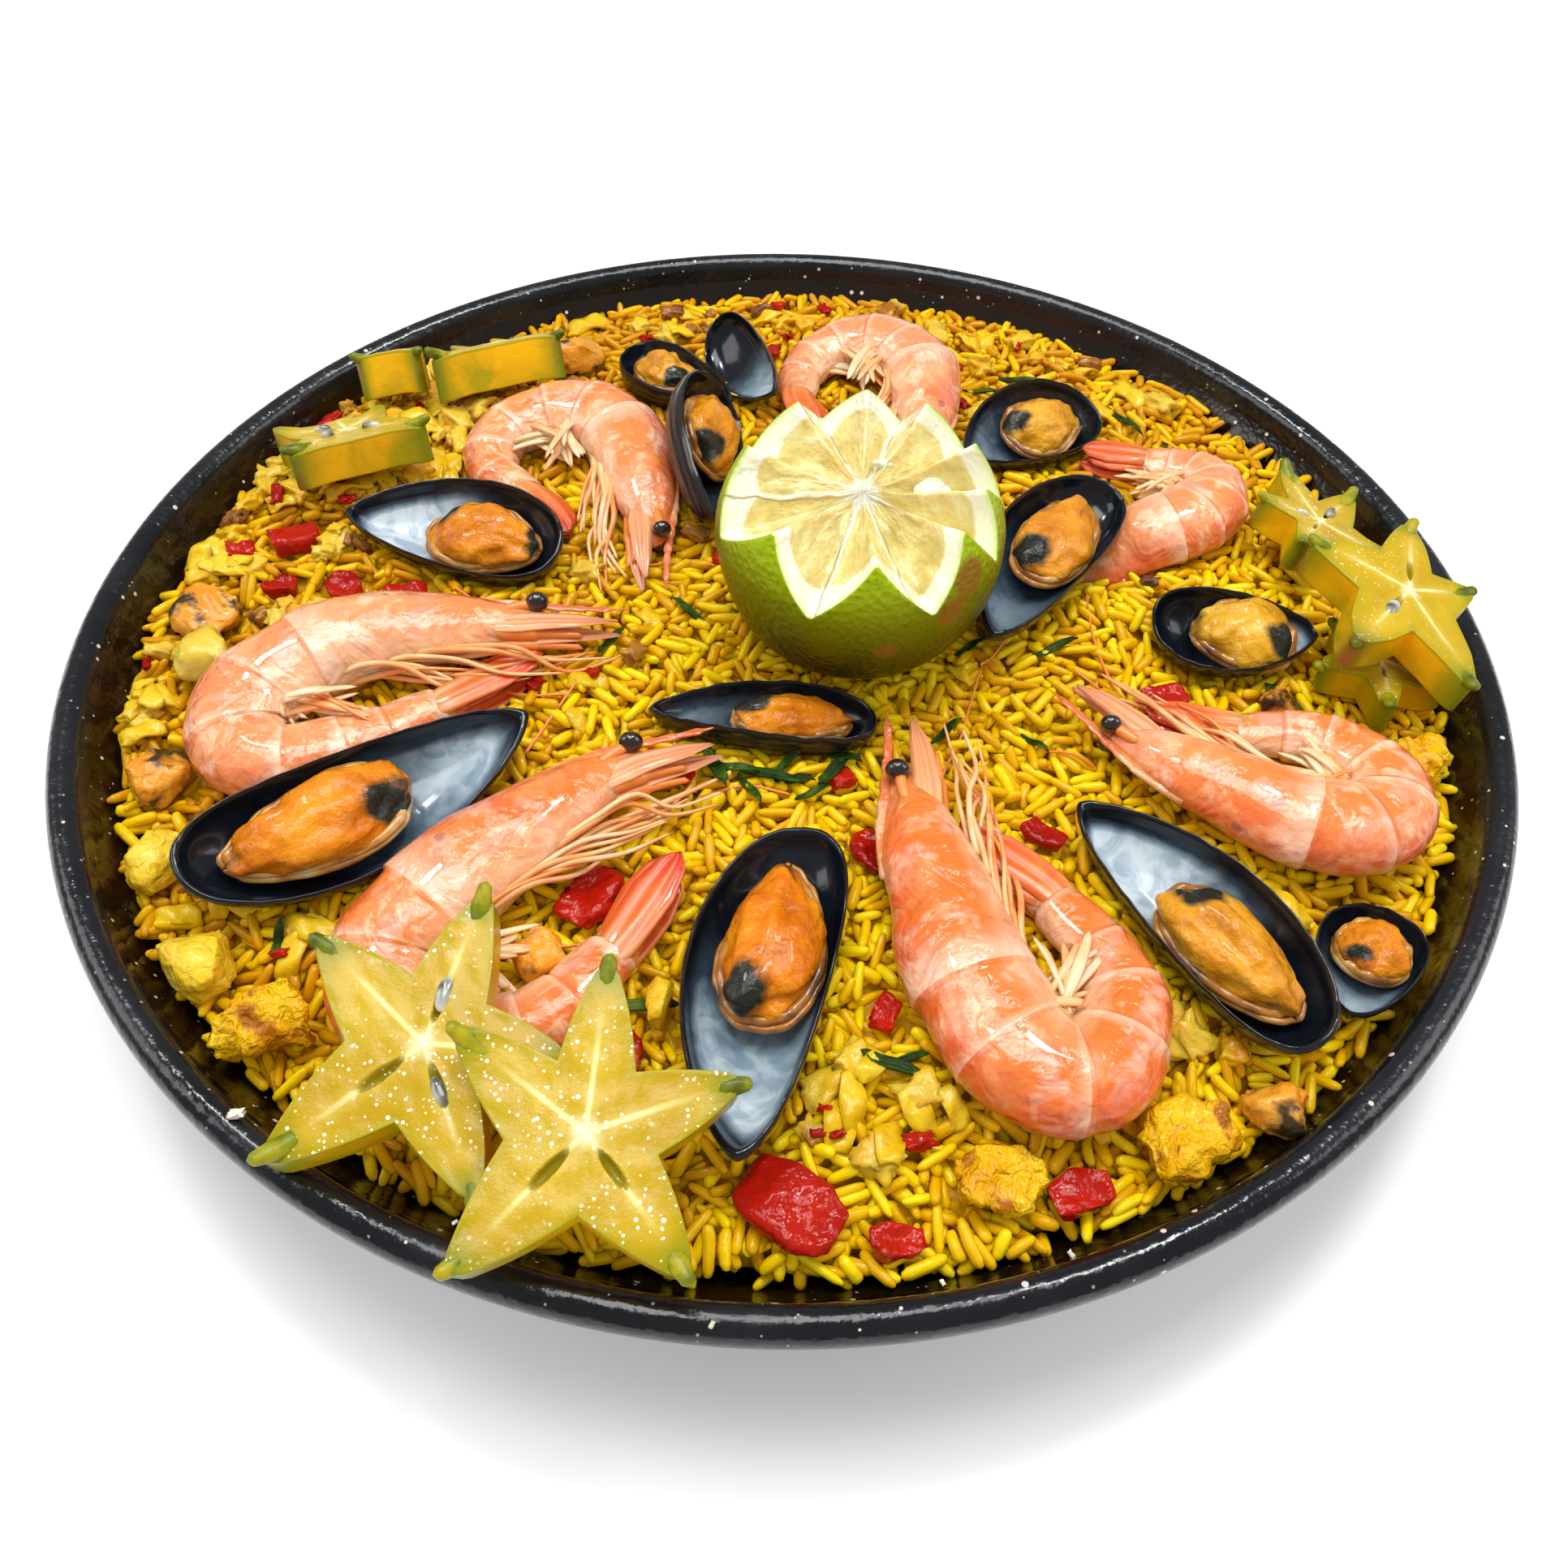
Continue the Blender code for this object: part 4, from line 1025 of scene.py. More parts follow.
def make_prawn(number, route, tone):
    dice = np.random.default_rng(40 + number)
    route = np.array(route, dtype=float)
    size = float(np.clip(np.linalg.norm(np.diff(route, axis=0), axis=1).sum() / PRAWN_LENGTH, 0.86, 1.0))

    def half_depth(t):
        return 0.5 * size * np.interp(t, BODY_AT, BODY_DEPTH)

    def spot(t, out, lift, ahead=0.0):
        """A point by the middle line, in mm: out towards the back, lifted, ahead towards the beak."""
        middle, forward, right, up = (row[0] for row in frames_along(route, t))
        return middle + (right * out + up * lift - forward * ahead) * size

    def body(around, down):
        t = 0.078 + 0.837 * down
        middle, _, right, up = frames_along(route, t)
        side = np.cos(around * math.tau)
        half = half_depth(t)
        k = np.clip(np.searchsorted(RING_ENDS, t, side="right") - 1, 0, len(RING_ENDS) - 2)
        ring = (t - RING_ENDS[k]) / (RING_ENDS[k + 1] - RING_ENDS[k])
        full = np.minimum(1.0, half / 3.5)
        flap = np.where(k > 0, np.sin(math.pi * ring) ** 0.6, 0.0)
        grow = 0.45 * ring ** 3 + flap * np.clip(-side, 0, 1) ** 3
        grow += np.where(k == 0, 0.8 * np.clip(side, 0, 1) ** 8, 0.0)
        points = middle + right * (half * side)[:, None]
        half = half * (1.0 + 0.030 * waves(points, 9.0, number)) + size * full * grow
        points = middle + right * (half * side)[:, None]
        points += up * (half * PRAWN_FLATNESS * np.sin(around * math.tau))[:, None]
        return points, {"along": t, "girth": side, "ring": ring, "tone": np.full(len(t), tone)}

    parts = [(wrapped(56, 190, body), 0)]
    rostrum = [spot(0.25, 9.6, 0), spot(0.19, 8.2, 0), spot(0.12, 5.6, 0.4), spot(0.04, 3.6, 0.6),
               spot(0.0, 3.0, 0.6, 5)]
    saw = np.linspace(0.0, 1.0, 60)
    teeth = 1.1 * (1.0 - saw) + 0.45 + 0.55 * ((saw * 9.0) % 1.0) * (saw > 0.25) * (saw < 0.9)
    parts.append((limb(rostrum, (saw, size * teeth * np.minimum(1.0, (1.0 - saw) * 9.0)),
                       ([0, .3, 1], [1.0, .7, .15]), 8, 60, {"tone": tone}), 0))
    for lift, out, reach in ((2.2, -1.4, 1.0), (-1.0, -2.6, 3.0)):
        blade = [spot(0.18, out - 0.6, lift), spot(0.11, out - 1.2, lift + 0.8),
                 spot(0.05, out - 1.2, lift + 0.6), spot(0.0, out - 0.6, lift - 0.4, reach)]
        parts.append((limb(blade, ([0, .3, .75, 1], [2.0, 3.1, 2.0, 0.3]), ([0, .5, 1], [1.0, 0.7, 0.15]),
                           14, 24, {"pale": 1.0}), 3))
    for out, lift, thick in ((-4.5, 1.2, 1.7), (-6.0, -1.0, 1.5)):
        stalk = [spot(0.17, out + 1.0, lift), spot(0.11, out, lift), spot(0.04, out - 0.6, lift - 0.6)]
        parts.append((limb(stalk, ([0, .5, .52, 1], [thick, thick, thick * 0.7, 0.6]), ([0, .5, .52, 1],
                           [thick, thick, thick * 0.7, 0.6]), 9, 20, {"tone": 0.8}), 1))
    for out, lift in ((2.6, 3.4), (2.2, -3.2)):
        stem = [spot(0.15, out - 0.6, lift * 0.7), spot(0.125, out - 0.2, lift * 0.9),
                spot(0.105, out, lift)]
        parts.append((limb(stem, ([0, 1], [1.3, 1.2]), ([0, 1], [1.2, 1.1]), 8, 8, {"tone": 0.9}), 1))
        bm = bmesh.new()
        bmesh.ops.create_uvsphere(bm, u_segments=20, v_segments=14, radius=2.35 * MM * size)
        bmesh.ops.scale(bm, vec=(1.1, 0.95, 1.0), verts=bm.verts)
        bmesh.ops.translate(bm, vec=spot(0.098, out + 0.3, lift + 0.3) * MM, verts=bm.verts)
        parts.append((bm, 2))

    # The height of the rice, on which legs and swimming legs come to rest
    floor = 37.0
    for k in range(13):
        t = 0.235 + 0.185 * k / 12.0
        depth, away = float(half_depth(t)) / size, dice.uniform(1.0, 4.0)
        tip = dice.uniform(3.0, 13.0)
        lift = dice.uniform(-2.5, 3.5)
        path = [spot(t, 0.8 - depth, lift - 1.0), spot(t - 0.05, 0.2 - depth, lift),
                spot(t - 0.11, -depth - away + 1.5, lift + dice.uniform(-1, 1)),
                spot(t - 0.17, -depth - away + 2.5 - 0.45 * tip, dice.uniform(-3, 1)),
                spot(max(0.0, t - 0.23), -float(half_depth(max(0.1, t - 0.2))) / size - tip,
                     dice.uniform(-4, 0), 3)]
        for point in path[2:]:
            point[2] = max(point[2], floor)
        thick = dice.uniform(0.55, 0.85)
        parts.append((limb(path, ([0, .6, .95, 1], [thick, thick * .8, thick * .45, .1]),
                           ([0, .6, .95, 1], [thick, thick * .7, thick * .4, .1]), 6, 22,
                           {"tone": dice.uniform(0.0, 0.5)}), 1))
    for k in range(22):
        t = 0.45 + 0.30 * k / 21.0 + dice.uniform(-0.008, 0.008)
        depth = float(half_depth(t)) / size
        length = dice.uniform(9.0, 18.0)
        lift = dice.uniform(-0.5, 5.5)
        lean = dice.uniform(3.0, 9.0)
        path = [spot(t, 1.0 - depth, lift), spot(t, -depth - 0.30 * length, lift + 0.8, 0.3 * lean),
                spot(t, -depth - 0.68 * length, lift + 0.4, 0.65 * lean),
                spot(t, -depth - length, lift - 1.0, lean)]
        for point in path[1:]:
            point[2] = max(point[2], floor)
        wide = dice.uniform(0.6, 1.3)
        parts.append((limb(path, ([0, .5, .85, 1], [wide * .7, wide, wide * .7, .1]),
                           ([0, .5, 1], [.6, .5, .15]), 8, 14, {"tone": dice.uniform(-0.3, 0.35)}), 1))

    for out, lift, wide, reach in ((-1.2, -2.0, 4.4, 1), (1.4, -2.4, 4.2, -2), (0.4, -0.4, 3.0, -5),
                                   (-1.4, 1.3, 4.2, -1), (0.8, 2.6, 4.6, 1)):
        blade = [spot(0.84, 0.2 * out, 0.5 * lift), spot(0.89, 0.7 * out, lift), spot(0.95, out, lift),
                 spot(1.0, 1.2 * out, 0.8 * lift, -reach - 3.0)]
        parts.append((limb(blade, ([0, .2, .65, .9, 1], [2.4, 0.85 * wide, wide, 0.66 * wide, 0.3]),
                           ([0, .3, .9, 1], [2.0, 1.2, 0.6, 0.1]), 18, 26), 3))
    return gathered(parts)


for number, (node_name, route) in enumerate(PRAWNS.items()):
    bm = make_prawn(number, route, PRAWN_TONES[number])
    piece(node_name + "_body", bm, [shell_pink, leg_cream, eye_black, fan_red], "prawn", node_name)

# ---------------------------------------------------------------------------------------------
# The star fruit. Slices across a five-ribbed fruit: wet yellow flesh with a pale vein along every
# rib, seed pockets near the middle, painted white glints that stand for highlights on the flesh, and a waxy
# skin that is green and brown along the rib edges.

STARS = {
    "star_slice_front_left": ((-59, -116, 49.5), 7.0, 12, -90, 0.46,
                              [(76, 29), (138, 28), (219, 31), (295, 28), (356, 24)]),
    "star_slice_front": ((-30, -133, 53.5), 7.0, 16, -75, 0.46,
                         [(87, 28), (145, 27), (229, 29), (310, 27), (21, 26)]),
    "star_slice_right": ((136, 0, 49.8), 8.0, 12, 0, 0.5,
                         [(74, 25), (150, 23), (229, 28), (285, 28), (12, 17)]),
    "star_slice_right_under": ((132, -10, 38.0), 8.0, 0, 0, 0.5,
                               [(40, 15), (120, 14), (190, 14), (265, 14), (330, 15)]),
    "star_slice_upper_right": ((126, 32, 42.5), 8.0, 16, 20, 0.5,
                               [(100, 22), (165, 15), (235, 15), (325, 17), (50, 21)]),
    "star_slice_upper_left": ((-109, 54, 46.0), 9.0, 20, 115, 0.6,
                              [(232, 17), (352, 21), (62, 13), (122, 13), (176, 19)]),
    "star_slice_back_left": ((-79, 93, 43.0), 11.0, 32, 107, 0.6,
                             [(220, 18), (352, 19), (60, 12), (115, 13), (168, 12)]),
    "star_slice_far_left": ((-104, 88, 43.0), 11.0, 32, 107, 0.6,
                            [(222, 11), (335, 8), (45, 8), (105, 9), (168, 9)]),
}
# Seed pockets of each slice: (rib number, 1 with its seed or 0 empty)
POCKETS = {
    "star_slice_front_left": [(0, 1), (3, 1), (2, 0)],
    "star_slice_front": [(2, 0), (3, 0)],
    "star_slice_right": [(2, 1), (0, 0)],
    "star_slice_right_under": [(3, 0)],
    "star_slice_upper_right": [(4, 1), (1, 1), (2, 0)],
    "star_slice_upper_left": [(0, 1), (1, 1), (4, 1)],
    "star_slice_back_left": [(0, 0)],
    "star_slice_far_left": [(0, 0)],
}

star_flesh, tree, shader, at = finish("star_fruit",
                                      {"Roughness": 0.3, "Coat Weight": 0.08, "Coat Roughness": 0.04,
                                       "Specular IOR Level": 0.3, "Subsurface Weight": 0.3,
                                       "Subsurface Scale": 0.004})
vein, out, wall = read(tree, "vein"), read(tree, "out"), read(tree, "wall")
patch = clouds(tree, at, 60.0, 4.0, Distortion=0.8)
flesh = ramp(tree, patch, [(0.3, (0.50, 0.31, 0.004)), (0.5, (0.55, 0.36, 0.006)),
                           (0.7, (0.61, 0.41, 0.012))])
wander = swing(tree, patch, 0.9)
soft = times(tree, share(tree, plus(tree, vein, wander), 2.6, 0.0), share(tree, out, 0.92, 0.55))
thin = share(tree, plus(tree, vein, times(tree, wander, 0.3)), 0.7, 0.2)
fine = clouds(tree, at, 500.0, 3.0, Roughness=0.7)
border = share(tree, plus(tree, read(tree, "edge"), times(tree, wander, 0.1)), 0.80, 1.0, 0.0, 0.75)
flesh = layered(
    tree, flesh,
    (soft, 0.4, (0.76, 0.60, 0.11)),
    (times(tree, thin, share(tree, out, 0.75, 0.35)), 0.75, (0.93, 0.85, 0.40)),
    (share(tree, out, 0.13, 0.03, 0.0, 0.8), 1.0, (0.93, 0.88, 0.55)),
    (share(tree, fine, 0.55, 0.75, 0.0, 0.10), 1.0, (0.80, 0.66, 0.12)),
    (border, 1.0, (0.40, 0.33, 0.003)),
    (read(tree, "pocket"), 1.0, (0.36, 0.27, 0.006)))
rind = ramp(tree, patch, [(0.36, (0.46, 0.36, 0.003)), (0.50, (0.76, 0.43, 0.003)),
                          (0.62, (0.88, 0.50, 0.003))])
green = times(tree, share(tree, out, 0.90, 1.0), share(tree, patch, 0.25, 0.5, 0.7, 1.0))
rind = tinted(tree, green, rind, (0.16, 0.20, 0.012))
skin_line = times(tree, share(tree, wall, 0.2, 0.6), share(tree, wall, 0.86, 0.72))
tips = times(tree, share(tree, out, 0.93, 1.0), share(tree, patch, 0.48, 0.6))
# Painted highlights: small white specks in the colour stand for glints of light on the wet flesh
spread = patches(tree, at, 70.0, 0.42, 0.55)
painted_glints = calc(tree, "MAXIMUM", times(tree, flecked(tree, at, 560.0, 0.17, 0.7), spread),
             times(tree, flecked(tree, at, 1050.0, 0.26, 0.55), spread))
paint(tree, shader, layered(
    tree, tinted(tree, share(tree, wall, 0.25, 0.75), flesh, rind),
    (share(tree, out, 0.76, 0.97), 0.85, (0.22, 0.24, 0.004)),
    (skin_line, 0.7, (0.24, 0.28, 0.004)),
    (tips, 1.0, (0.30, 0.11, 0.02)),
    (times(tree, painted_glints, share(tree, wall, 0.3, 0.1)), read(tree, "glint_paint"), (1.0, 0.99, 0.88))))
relief(tree, shader, plus(tree, times(tree, fine, 0.35), times(tree, patch, 1.0)), 0.0006, 0.8)

seed_coat, tree, shader, at = finish("star_seed",
                                     {"Coat Weight": 1.0, "Coat Roughness": 0.04, "Roughness": 0.2})
bands = clouds(tree, at, 260.0, 1.0)
paint(tree, shader, ramp(tree, bands, [(0.35, (0.10, 0.09, 0.06)), (0.5, (0.34, 0.34, 0.29)),
                                       (0.65, (0.62, 0.62, 0.56))]))
relief(tree, shader, bands, 0.0004)

tip_green, tree, shader, at = finish("star_tip",
                                     {"Roughness": 0.4, "Coat Weight": 0.1, "Specular IOR Level": 0.3,
                                      "Subsurface Weight": 0.2, "Subsurface Scale": 0.002})
patch = clouds(tree, at, 170.0, 3.0)
paint(tree, shader, ramp(tree, patch, [(0.30, (0.07, 0.09, 0.001)), (0.5, (0.20, 0.23, 0.002)),
                                       (0.66, (0.44, 0.36, 0.006)), (0.75, (0.32, 0.13, 0.01))]))
relief(tree, shader, patch, 0.0006)


def star_outline(tips, waist, steps):
    """Points round a slice: a blunt tip, a bulging side, a sharp notch, and so on, tips first."""
    points, ribs = [], []
    for i, (angle, reach) in enumerate(tips):
        next_angle, next_reach = tips[(i + 1) % len(tips)]
        gap = math.radians((next_angle - angle) % 360)
        notch_turn, notch = math.radians(angle) + 0.5 * gap, waist * 0.5 * (reach + next_reach)
        low_point = np.array([math.cos(notch_turn), math.sin(notch_turn)]) * notch
        for first, (tip_angle, tip_reach) in ((True, (angle, reach)), (False, (next_angle, next_reach))):
            turn = math.radians(tip_angle)
            axis = np.array([math.cos(turn), math.sin(turn)])
            cross = np.array([-axis[1], axis[0]]) * (1.0 if first else -1.0)
            for k in range(steps):
                s = k / steps if first else 1.0 - k / steps
                line = axis * tip_reach * (1.0 - s) + low_point * s
                blunt = cross * 1.3 * math.sqrt(min(1.0, s * 9.0)) * (1.0 - s) ** 2
                away = cross * tip_reach * 0.035 * math.sin(math.pi * s)
                points.append(line + blunt + away)
                ribs.append((turn, tip_reach))
    return np.array(points), np.array(ribs)


def make_star(number, spec, pockets):
    middle, thickness, tilt, towards, waist, tips = spec
    lean = Vector((-math.sin(math.radians(towards)), math.cos(math.radians(towards)), 0.0))
    seat = Matrix.Translation(middle) @ Matrix.Rotation(math.radians(tilt), 4, lean)
    turn_matrix, shift = np.array(seat.to_3x3()), np.array(seat.translation)
    steps = 18
    outline, ribs = star_outline(tips, waist, steps)
    ribs, own_tip = ribs[:, 0], ribs[:, 1]
    loop = len(outline)

    def hollow(x, y):
        """How deep the seed pockets are, from 0 to 1."""
        deep = np.zeros_like(x)
        for rib, _ in pockets:
            angle, reach = math.radians(tips[rib][0]), tips[rib][1]
            u = x * math.cos(angle) + y * math.sin(angle) - 0.29 * reach
            v = -x * math.sin(angle) + y * math.cos(angle)
            shape = 1.0 - (u / (0.15 * reach)) ** 2 - (v / (0.038 * reach)) ** 2
            deep = np.maximum(deep, np.sqrt(np.clip(shape, 0.0, 1.0)))
        return deep

    def place(around, down):
        index = around * loop
        low_index = np.floor(index).astype(int) % loop
        part = (index - np.floor(index))[:, None]
        edge = outline[low_index] * (1.0 - part) + outline[(low_index + 1) % loop] * part
        top = down < 0.5
        share_out = np.clip(np.where(top, down / 0.40, (1.0 - down) / 0.40), 0.0, 1.0)
        bevel = np.where(top, np.clip((down - 0.40) / 0.06, 0, 1), np.clip((0.60 - down) / 0.06, 0, 1))
        x, y = edge[:, 0] * share_out, edge[:, 1] * share_out
        reach = np.hypot(x, y)
        far = reach / own_tip[low_index]
        shrink = 1.0 - 0.35 * (1.0 - np.sin(0.5 * math.pi * bevel)) / np.maximum(reach, 1.0)
        lift = 0.5 * thickness - 0.45 * (1.0 - np.cos(0.5 * math.pi * bevel))
        wall = np.clip((down - 0.46) / 0.08, 0.0, 1.0)
        z = np.where(top, lift, -lift)
        z = np.where((down > 0.46) & (down < 0.54), (0.5 - down) / 0.04 * (0.5 * thickness - 0.45), z)
        deep = hollow(x, y) * top * (share_out < 0.99)
        bow = 0.5 * np.sin(x * 0.11 + number) + 0.4 * np.cos(y * 0.13 + 2 * number)
        curl = 1.3 * np.clip(far - 0.72, 0.0, 1.0) / 0.28 * np.sin(3.0 * ribs[low_index] + number)
        grain = waves(np.stack([x, y, z], axis=1), 2.2, number)
        z = z + bow + curl - 2.4 * deep + 0.10 * grain * (share_out < 0.98)
        rib = ribs[low_index]
        vein = np.abs(-x * np.sin(rib) + y * np.cos(rib))
        points = np.stack([x * shrink, y * shrink, z], axis=1) @ turn_matrix.T + shift
        # The first two slices, at the front, carry the most painted glints
        glint_paint = np.full(len(x), 1.0 if number < 2 else 0.45)
        skin = np.where(wall > 0.0, 1.0, np.clip(bevel, 0.0, 1.0) * 0.7)
        return points, {"vein": vein, "out": far, "edge": share_out, "wall": skin,
                        "pocket": np.clip(deep * 1.5, 0, 1), "glint_paint": glint_paint}

    parts = [(wrapped(loop, 96, place), 0)]
    dice = np.random.default_rng(70 + number)
    # A curled green tip on every rib, or on two only for the slices at the back left
    for angle, reach in tips if number < 5 else tips[:2]:
        axis = np.array([math.cos(math.radians(angle)), math.sin(math.radians(angle)), 0.0])
        top, curl = 0.5 * thickness, dice.uniform(0.3, 2.4)
        aside = np.array([-axis[1], axis[0], 0.0]) * dice.uniform(-1.2, 1.2)
        path = [axis * (reach - 6.5) + [0, 0, top - 2.2], axis * (reach - 3.6) + [0, 0, top - 1.5],
                axis * (reach - 0.8) + aside * 0.4 + [0, 0, top - 1.0 + 0.4 * curl],
                axis * (reach + 1.6) + aside + [0, 0, top - 0.8 + curl]]
        path = [point @ turn_matrix.T + shift for point in path]
        parts.append((limb(path, ([0, .5, .9, 1], [1.7, 1.9, 1.2, 0.3]),
                           ([0, .5, .9, 1], [1.6, 1.6, 1.0, 0.2]), 12, 20), 2))
    for rib, seeded in pockets:
        if seeded:
            angle, reach = math.radians(tips[rib][0]), tips[rib][1]
            bm = bmesh.new()
            bmesh.ops.create_uvsphere(bm, u_segments=20, v_segments=14, radius=1.0)
            bmesh.ops.scale(bm, vec=(0.115 * reach, 0.058 * reach, 1.2), verts=bm.verts)
            bmesh.ops.rotate(bm, cent=(0, 0, 0), matrix=Matrix.Rotation(angle + 0.12, 3, "Z"),
                             verts=bm.verts)
            at_x, at_y = 0.32 * reach * math.cos(angle), 0.32 * reach * math.sin(angle)
            bmesh.ops.translate(bm, vec=(at_x, at_y, 0.5 * thickness - 0.5), verts=bm.verts)
            bmesh.ops.transform(bm, matrix=Matrix.Scale(MM, 4) @ seat, verts=bm.verts)
            parts.append((bm, 1))
    return gathered(parts)


for number, (node_name, spec) in enumerate(STARS.items()):
    bm = make_star(number, spec, POCKETS[node_name])
    piece(node_name + "_flesh", bm, [star_flesh, seed_coat, tip_green], "star_fruit", node_name)

# ---------------------------------------------------------------------------------------------
# The lime. Cut in zigzags all round and pulled apart, so that it stands as a crown: green rind,
# thick white pith in every tooth, and pale juicy segments that rise to the points.

LIME_RADIUS = 31.0
LIME_CORE = 13.0
LIME_CUT = 12.0
LIME_TOOTH = 6.5
LIME_TIPS = np.array([-137, -85, -38, -8, 22, 57, 88, 124, 163])
LIME_MIDDLE = Vector((15.5, 3.0, 63.5))
LIME_LEAN = Matrix.Rotation(math.radians(7), 3, "X")


def lime_surface(tooth, down):
    """A point of the lime for its place round the teeth (0..9) and down from the middle (0..1)."""
    tip = np.floor(tooth).astype(int) % 9
    part = tooth - np.floor(tooth)
    gap = (LIME_TIPS[(tip + 1) % 9] - LIME_TIPS[tip]) % 360
    turn = np.radians(LIME_TIPS[tip] + gap * part)
    edge = LIME_CUT + LIME_TOOTH * (4.0 * np.abs(part - 0.5) - 1.0)
    top = np.arccos(edge / LIME_RADIUS)
    skin = down > 0.5
    polar = top + (math.pi - top) * (down - 0.5) / 0.5
    inner = down / 0.5
    radius = np.where(skin, LIME_RADIUS * np.sin(polar), LIME_RADIUS * np.sin(top) * inner)
    sag = -1.2 * np.sin(math.pi * np.clip(inner, 0, 1)) * (0.5 + 0.5 * np.sin(turn * 5.0) ** 2)
    cut_height = LIME_CORE + (edge - LIME_CORE) * inner + sag
    height = np.where(skin, LIME_RADIUS * np.cos(polar), cut_height)
    return turn, radius, height, np.clip(inner, 0.0, 1.0), skin


def make_lime():
    def place(around, down):
        turn, radius, height, inner, skin = lime_surface(around * 9.0, down)
        x, y = radius * np.cos(turn), radius * np.sin(turn)
        flat = np.stack([x, y, height], axis=1)
        bump = np.where(skin, 0.25 * waves(flat, 11.0, 3), 0.22 * waves(flat, 2.4, 4) * (inner < 0.88))
        grow = 1.0 + bump / LIME_RADIUS
        flat = np.stack([x * np.where(skin, grow, 1.0), y * np.where(skin, grow, 1.0),
                         height + np.where(skin, 0, bump)], axis=1)
        points = flat @ np.array(LIME_LEAN).T + np.array(LIME_MIDDLE)
        return points, {"inner": inner, "height": height, "turn_x": np.cos(turn), "turn_y": np.sin(turn)}

    bm = wrapped(9 * 26, 150, place)
    layer = bm.verts.layers.float["inner"]
    for face in bm.faces:
        middle = face.calc_center_median() / MM - LIME_MIDDLE
        face.material_index = int(min(v[layer] for v in face.verts) < 0.999 and middle.z > 0.0)
    return bm


rind_green, tree, shader, at = finish("lime_rind",
                                      {"Roughness": 0.28, "Coat Weight": 0.06, "Coat Roughness": 0.06,
                                       "Specular IOR Level": 0.2, "Subsurface Weight": 0.1,
                                       "Subsurface Scale": 0.002})
patch = clouds(tree, at, 40.0, 4.0)
# Painted light and shade: the rind is coloured bright green at the top and dark at the bottom, as if lit
# from above
up = share(tree, plus(tree, read(tree, "height"), times(tree, patch, 8.0)), -12.0, 17.0)
green = ramp(tree, up, [(0.0, (0.05, 0.040, 0.001)), (0.40, (0.095, 0.095, 0.001)),
                        (0.72, (0.19, 0.23, 0.001)), (1.0, (0.36, 0.50, 0.002))])
pores = flecked(tree, at, 750.0, 0.22, 0.7)
green = tinted(tree, times(tree, pores, 0.35), green, (0.05, 0.08, 0.002))
for azimuth, lift, size in ((-80, -10, 3.6), (-54, 2, 3.2), (-44, 14, 4.0)):
    side, rise = math.radians(azimuth), math.radians(lift)
    way = Vector((math.cos(side) * math.cos(rise), math.sin(side) * math.cos(rise), math.sin(rise)))
    mark = LIME_MIDDLE + way * LIME_RADIUS
    gap = put(tree, "VectorMath", {0: at, 1: mark * MM}, out=1, operation="DISTANCE")
    gap = plus(tree, gap, swing(tree, patch, 0.010))
    stain = share(tree, gap, size * MM, 0.5 * size * MM, 0.0, 0.85)
    green = tinted(tree, stain, green, (0.28, 0.12, 0.015))
paint(tree, shader, green)
relief(tree, shader, put(tree, "TexVoronoi", {"Vector": at, "Scale": 620.0}), 0.0005, 0.9)

lime_flesh, tree, shader, at = finish("lime_flesh",
                                      {"Roughness": 0.22, "Coat Weight": 0.5, "Coat Roughness": 0.05,
                                       "Subsurface Weight": 0.4, "Subsurface Scale": 0.004})
turn_x, turn_y, inner = read(tree, "turn_x"), read(tree, "turn_y"), read(tree, "inner")
turn = calc(tree, "ARCTAN2", turn_y, turn_x)
patch = clouds(tree, at, 70.0, 3.0)
wander = swing(tree, patch, 0.35)
tenth = calc(tree, "FRACT", plus(tree, times(tree, turn, 10.0 / math.tau), wander))
nearest = calc(tree, "MINIMUM", tenth, calc(tree, "SUBTRACT", 1.0, tenth))
to_skin = times(tree, nearest, times(tree, inner, 17.0))
skins = share(tree, to_skin, 0.60, 0.22)
cells_at = put(tree, "CombineXYZ", {0: times(tree, inner, 6.0), 1: times(tree, turn_x, 7.0),
                                    2: times(tree, turn_y, 7.0)})
juice = clouds(tree, cells_at, 0.75, 3.0, Roughness=0.55)
pulp = ramp(tree, juice, [(0.28, (0.65, 0.49, 0.12)), (0.45, (0.73, 0.59, 0.19)),
                          (0.60, (0.83, 0.72, 0.30)), (0.75, (0.88, 0.82, 0.46))])
pulp = tinted(tree, times(tree, skins, 0.95), pulp, (0.95, 0.94, 0.74))
rim_at = plus(tree, inner, times(tree, wander, 0.12))
bite = times(tree, share(tree, nearest, 0.0, 0.28, 0.10, 0.0), share(tree, inner, 0.5, 0.8))
pith = share(tree, plus(tree, rim_at, bite), 0.825, 0.855)
white = ramp(tree, inner, [(0.83, (0.93, 0.93, 0.74)), (0.95, (0.90, 0.94, 0.68)),
                           (0.985, (0.74, 0.87, 0.36)), (1.0, (0.34, 0.50, 0.04))])
cut_face = tinted(tree, pith, pulp, white)
paint(tree, shader, tinted(tree, share(tree, inner, 0.16, 0.10), cut_face, (0.95, 0.93, 0.74)))
relief(tree, shader, plus(tree, juice, times(tree, skins, 0.4)), 0.0022, 0.9)

piece("lime_crown", make_lime(), [rind_green, lime_flesh], "lime", "lime")

